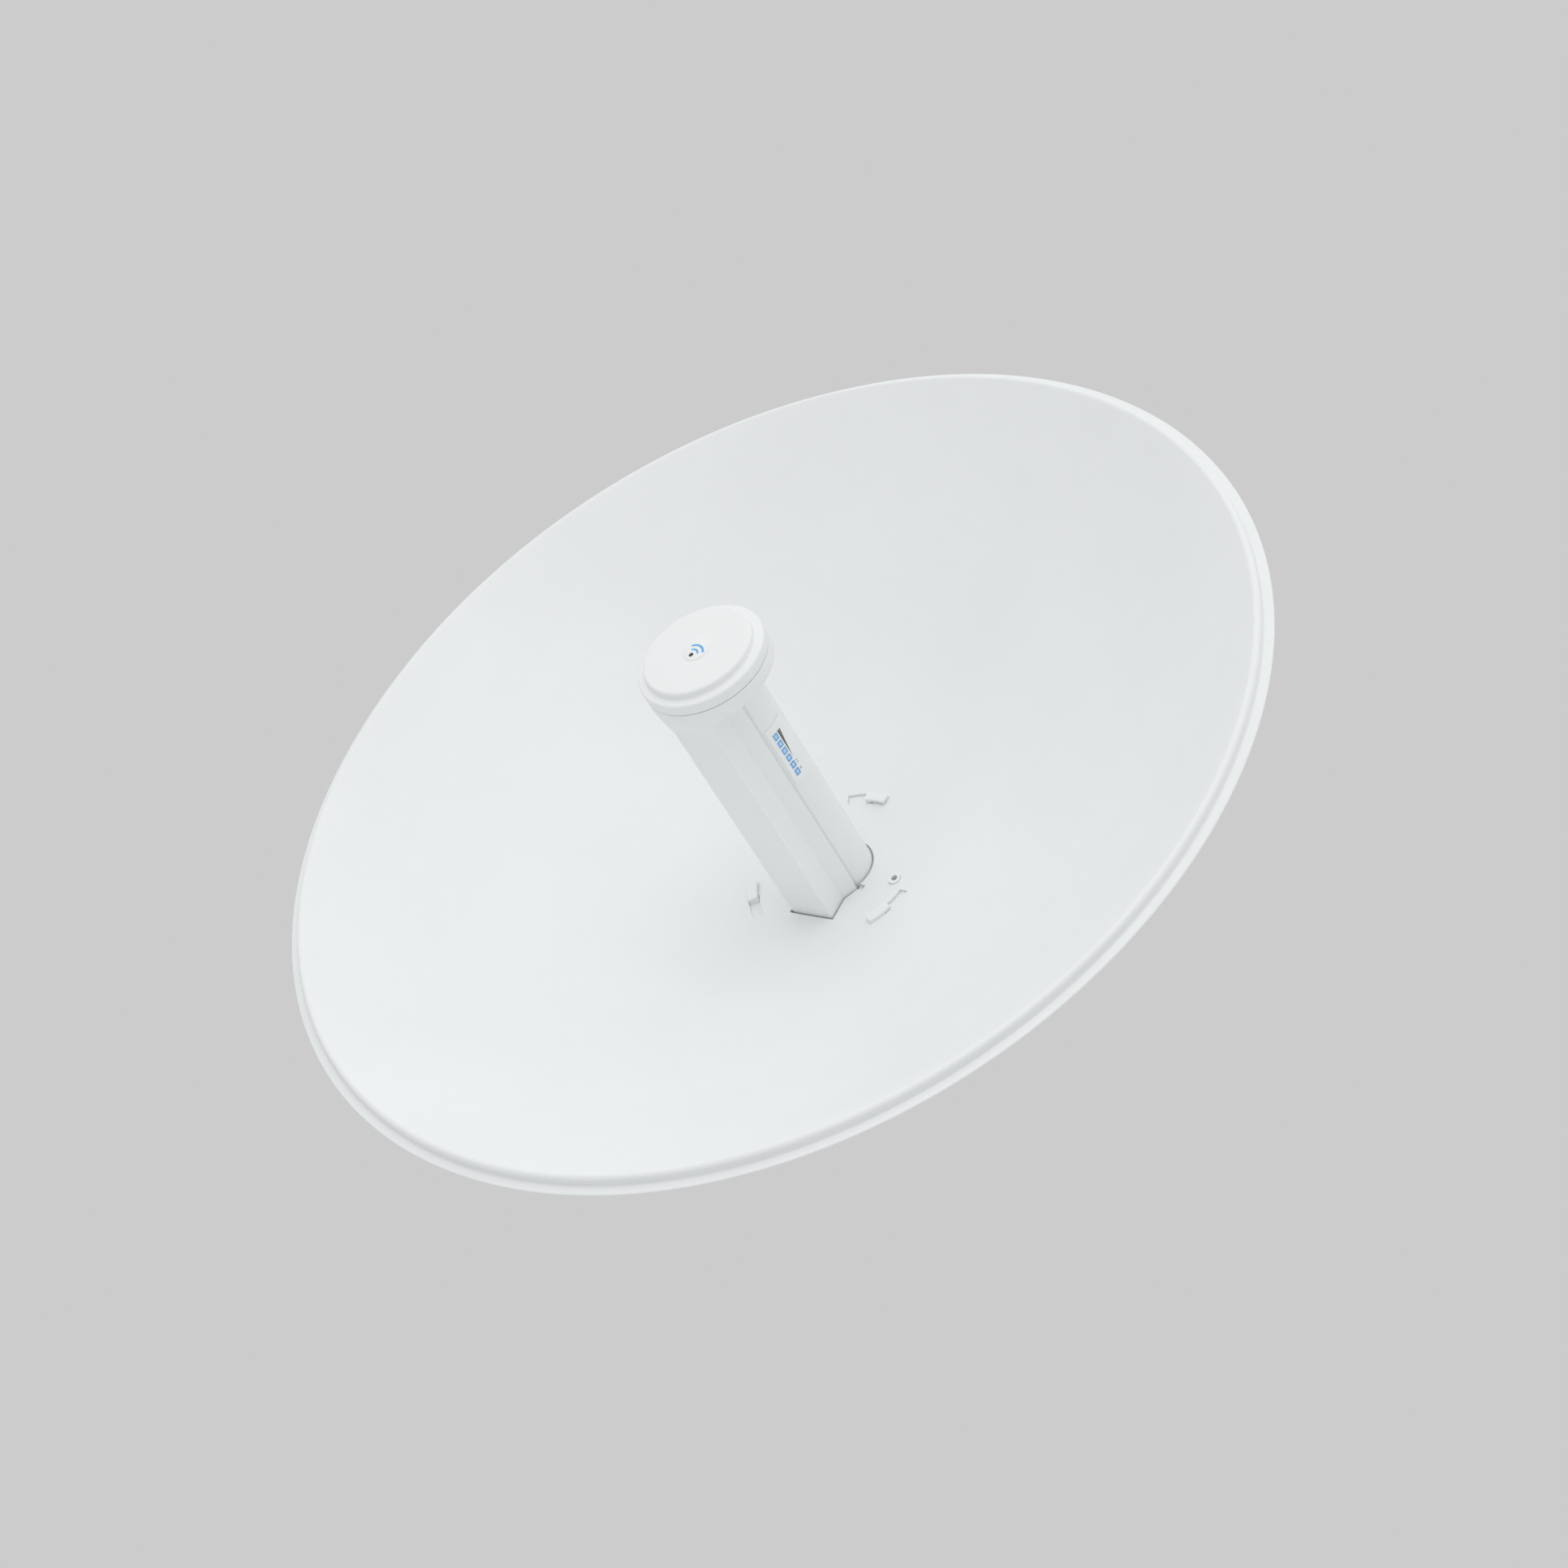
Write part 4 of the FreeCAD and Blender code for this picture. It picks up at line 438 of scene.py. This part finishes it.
def make_collar():
    """Round collar that flows down to the tube's section."""
    backs = [COLLAR_TURN - (COLLAR_TURN - COLLAR_END) * step / 14 for step in range(15)]
    outline = [(FLOOR_TOP, 0), (FLOOR_TOP, HEAD_BORE), (PARTING, HEAD_BORE), (PARTING, HEAD)]
    outline += [(back, HEAD) for back in backs]
    outline += [(COLLAR_END, 1), (FLOOR_FACE, 1), (FLOOR_FACE, 0)]
    mesh = spun(outline, steps=256, closed=False)
    soften_ring(mesh, PARTING, HEAD, 0.4)
    for vert in mesh.verts:
        front = -vert.co.y / MM
        reach = sqrt(vert.co.x ** 2 + vert.co.z ** 2) / MM
        if reach < 0.5 or front > COLLAR_TURN - 0.01 or abs(front - FLOOR_TOP) < 0.01 and reach < HEAD:
            continue
        tube = tube_reach(atan2(vert.co.z, vert.co.x))
        if reach < 2:
            wanted = tube + 0.12
        else:
            share = (front - COLLAR_END) / (COLLAR_TURN - COLLAR_END)
            drop = 1 - share
            wanted = tube + 0.25 + (HEAD - tube - 0.25) * (1 - drop ** 2.2) ** 1.6
        vert.co.x *= wanted / reach
        vert.co.z *= wanted / reach
    return finish_piece("collar", mesh, "dish", "white_plastic", "head_collar", crease=40)


def make_cap():
    """Hollow cap with a raised disc and soft edges."""
    mesh = spun([
        (CAP_TOP, 0), (CAP_TOP, DISC * 0.5), (CAP_TOP, DISC), (CAP_STEP, DISC), (CAP_STEP, HEAD),
        (CAP_BASE, HEAD), (CAP_BASE, SKIRT), (GROOVE_FRONT, SKIRT), (GROOVE_FRONT, SKIRT_GROOVE),
        (GROOVE_BACK, SKIRT_GROOVE), (GROOVE_BACK, SKIRT), (SKIRT_BACK, SKIRT),
        (SKIRT_BACK, CAP_BORE), (CAP_TOP - CAP_WALL, CAP_BORE), (CAP_TOP - CAP_WALL, 0)],
        steps=256, closed=False)
    soften_ring(mesh, CAP_TOP, DISC, 1.7, 6)
    soften_ring(mesh, CAP_STEP, DISC, 1.3, 5)
    soften_ring(mesh, CAP_STEP, HEAD, 1.6, 6)
    soften_ring(mesh, CAP_BASE, HEAD, 0.4, 3)
    return finish_piece("cap", mesh, "dish", "white_plastic", "feed_cap", crease=40)


def make_emblem():
    """A plain mark printed on the cap: a dot and rising wave arcs."""
    low, high = CAP_TOP + 0.05, CAP_TOP + 0.3
    disc = spun([(low, 0), (low, BADGE), (high, BADGE), (high, 0)], steps=96, closed=False)
    soften_ring(disc, high, BADGE, 0.12, 2)
    finish_piece("badge", disc, "dish", "white_plastic", "cap_badge")
    for name, reach, width, ink in (("small", 4.2, 1.3, "ink_blue"), ("large", 7.6, 1.5, "ink_blue"),
                                    ("dot", 0.0, 1.5, "ink_dark")):
        middle = (-1.0, -4.6)
        if reach:
            outline = (arc(middle, reach + width / 2, 20, 118, 24)
                       + arc(middle, reach - width / 2, 118, 20, 24))
        else:
            outline = arc(middle, width, 0, 350, 35)
        finish_piece(f"emblem_{name}", bar(outline, CAP_TOP + 0.29, CAP_TOP + 0.34), "dish", ink)


def on_label(outline, rise):
    """A thin film on the label's curve, from an outline of (front, z) points."""
    mesh = bmesh.new()
    verts = [mesh.verts.new(at(ROUND + LABEL, front, z)) for front, z in outline]
    face = mesh.faces.new(verts)
    grown = bmesh.ops.extrude_face_region(mesh, geom=[face])["geom"]
    top = {item for item in grown if isinstance(item, bmesh.types.BMVert)}
    for vert in mesh.verts:
        radius = ROUND + LABEL + (rise if vert in top else -0.02)
        vert.co.x = sqrt(radius ** 2 - (vert.co.z / MM - LIFT) ** 2) * MM
    bmesh.ops.recalc_face_normals(mesh, faces=mesh.faces)
    return mesh


def block(front, z, half_front, half_z):
    """A rectangle of (front, z) points."""
    return [(front - half_front, z - half_z), (front + half_front, z - half_z),
            (front + half_front, z), (front + half_front, z + half_z),
            (front - half_front, z + half_z), (front - half_front, z)]


def make_status_marks():
    """Six framed status lights, the wedge above them, and small plain marks."""
    for step in range(6):
        front = FIRST_LIGHT - LIGHT_PITCH * step
        finish_piece(f"light_frame_{step + 1}", on_label(block(front, LIGHT_HEIGHT, 2.45, 1.8), INK),
                     "dish", "ink_light")
        finish_piece(f"light_heart_{step + 1}", on_label(block(front, LIGHT_HEIGHT, 1.35, 0.95), HEART_INK),
                     "dish", "ink_heart")
    wedge = [(FIRST_LIGHT + 2.5, 1.7), (FIRST_LIGHT + 2.2, 4.5), (FIRST_LIGHT - 9, 3.1),
             (FIRST_LIGHT - 20.5, 1.8)]
    finish_piece("wedge", on_label(wedge, INK), "dish", "ink_grey")
    for name, front in (("one", 24.6), ("two", 26.4)):
        finish_piece(f"tick_{name}", on_label(block(FIRST_LIGHT - front, 2.6, 0.25, 0.6), INK),
                     "dish", "ink_grey")
    middle = (FIRST_LIGHT - POWER_MARK, 2.5)
    ring = arc(middle, 0.75, 0, 345, 23)
    finish_piece("power_mark", on_label(ring, INK), "dish", "ink_grey")
    heart = arc(middle, 0.42, 0, 345, 23)
    finish_piece("power_heart", on_label(heart, HEART_INK), "dish", "label_film")


make_bowl()
make_collar()
make_cap()
make_emblem()
make_status_marks()
bodies = {node: body for body, members in frame["record"]["behaviour"]["bodies"].items()
          for node in members}
for node_name, size in (("rear_hub", 0.5), ("tilt_bracket", 0.5), ("pole_bracket", 1.2),
                        ("clamp_jaw", 1.2), ("release_latch", 0.4), ("port_door", 0.4)):
    slot_name = next(part["material_slot"] for part in frame["record"]["subparts"]
                     if part["node"] == node_name)
    softened_copy(node_name, bodies[node_name], slot_name, size)

# ---------------------------------------------------------------------------
# Camera, light and floor
# ---------------------------------------------------------------------------
VIEW_SCALE = 0.323 / 0.310                      # outer rim radius over the bowl's nominal one
rim_centre = Vector((0, -0.25972, 0))
side = Vector((0.7825, 0.413, 0.4656)).normalized()
back = Vector((0.613, -0.643, -0.460)).normalized()
up = back.cross(side).normalized()
side = up.cross(back).normalized()
eye = rim_centre + (side * 0.01521 - up * 0.02242 + back * 1.7628) * VIEW_SCALE

camera = bpy.data.objects.new("camera", bpy.data.cameras.new("camera"))
camera.data.lens = 69.88
camera.data.sensor_width = 36.0
camera.matrix_world = Matrix.Translation(eye) @ Matrix((side, up, back)).transposed().to_4x4()
camera.data.clip_end = 60.0
bpy.context.scene.collection.objects.link(camera)
bpy.context.scene.camera = camera


def softbox(name, place, aim, size, watts):
    """A square studio light aimed at a point."""
    lamp = bpy.data.objects.new(name, bpy.data.lights.new(name, "AREA"))
    lamp.data.size = size
    lamp.data.energy = watts
    lamp.location = place
    lamp.rotation_mode = "QUATERNION"
    lamp.rotation_quaternion = (Vector(place) - Vector(aim)).to_track_quat("Z", "Y")
    bpy.context.scene.collection.objects.link(lamp)


softbox("key", (0.8, -2.8, 2.2), (0, -0.2, 0), 2.4, 5)
softbox("front", (0.3, -3.4, 0.3), (0, -0.2, 0), 2.4, 21)
softbox("rear", (0.9, 2.8, 2.0), (0, 0, 0), 2.0, 40)

world = bpy.data.worlds.new("studio")
bpy.context.scene.world = world
world.use_nodes = True
sky = world.node_tree
surround = sky.nodes["Background"]
seen = sky.nodes.new("ShaderNodeBackground")
seen.inputs["Color"].default_value = rgb(204, 204, 204)
surround.inputs["Strength"].default_value = 0.98
direction = sky.nodes.new("ShaderNodeTexCoord")
height = sky.nodes.new("ShaderNodeSeparateXYZ")
ramp = sky.nodes.new("ShaderNodeValToRGB")
ramp.color_ramp.elements[0].position = 0.38
ramp.color_ramp.elements[0].color = (0.46, 0.46, 0.46, 1)
ramp.color_ramp.elements[1].position = 0.72
ramp.color_ramp.elements[1].color = (0.94, 0.95, 0.95, 1)
half = sky.nodes.new("ShaderNodeMapRange")
half.inputs["From Min"].default_value = -1.0
sky.links.new(direction.outputs["Generated"], height.inputs[0])
sky.links.new(height.outputs["Z"], half.inputs["Value"])
sky.links.new(half.outputs[0], ramp.inputs[0])
sky.links.new(ramp.outputs[0], surround.inputs["Color"])
ray = sky.nodes.new("ShaderNodeLightPath")
choose = sky.nodes.new("ShaderNodeMixShader")
sky.links.new(ray.outputs["Is Camera Ray"], choose.inputs[0])
sky.links.new(surround.outputs[0], choose.inputs[1])
sky.links.new(seen.outputs[0], choose.inputs[2])
sky.links.new(choose.outputs[0], sky.nodes["World Output"].inputs[0])

scene = bpy.context.scene
scene.view_settings.view_transform = "Standard"
scene.view_settings.look = "None"

FLOOR_HEIGHT = -1.35
floor_mesh = bmesh.new()
bmesh.ops.create_grid(floor_mesh, x_segments=1, y_segments=1, size=14.0)
bmesh.ops.translate(floor_mesh, verts=floor_mesh.verts, vec=(0, 0, FLOOR_HEIGHT))
floor = link("floor", floor_mesh)
floor_coat = coat("floor", rgb(208, 208, 208), rgb(205, 205, 205), 300.0, 0.0001, 0.8)
floor.data.materials.append(floor_coat.material)
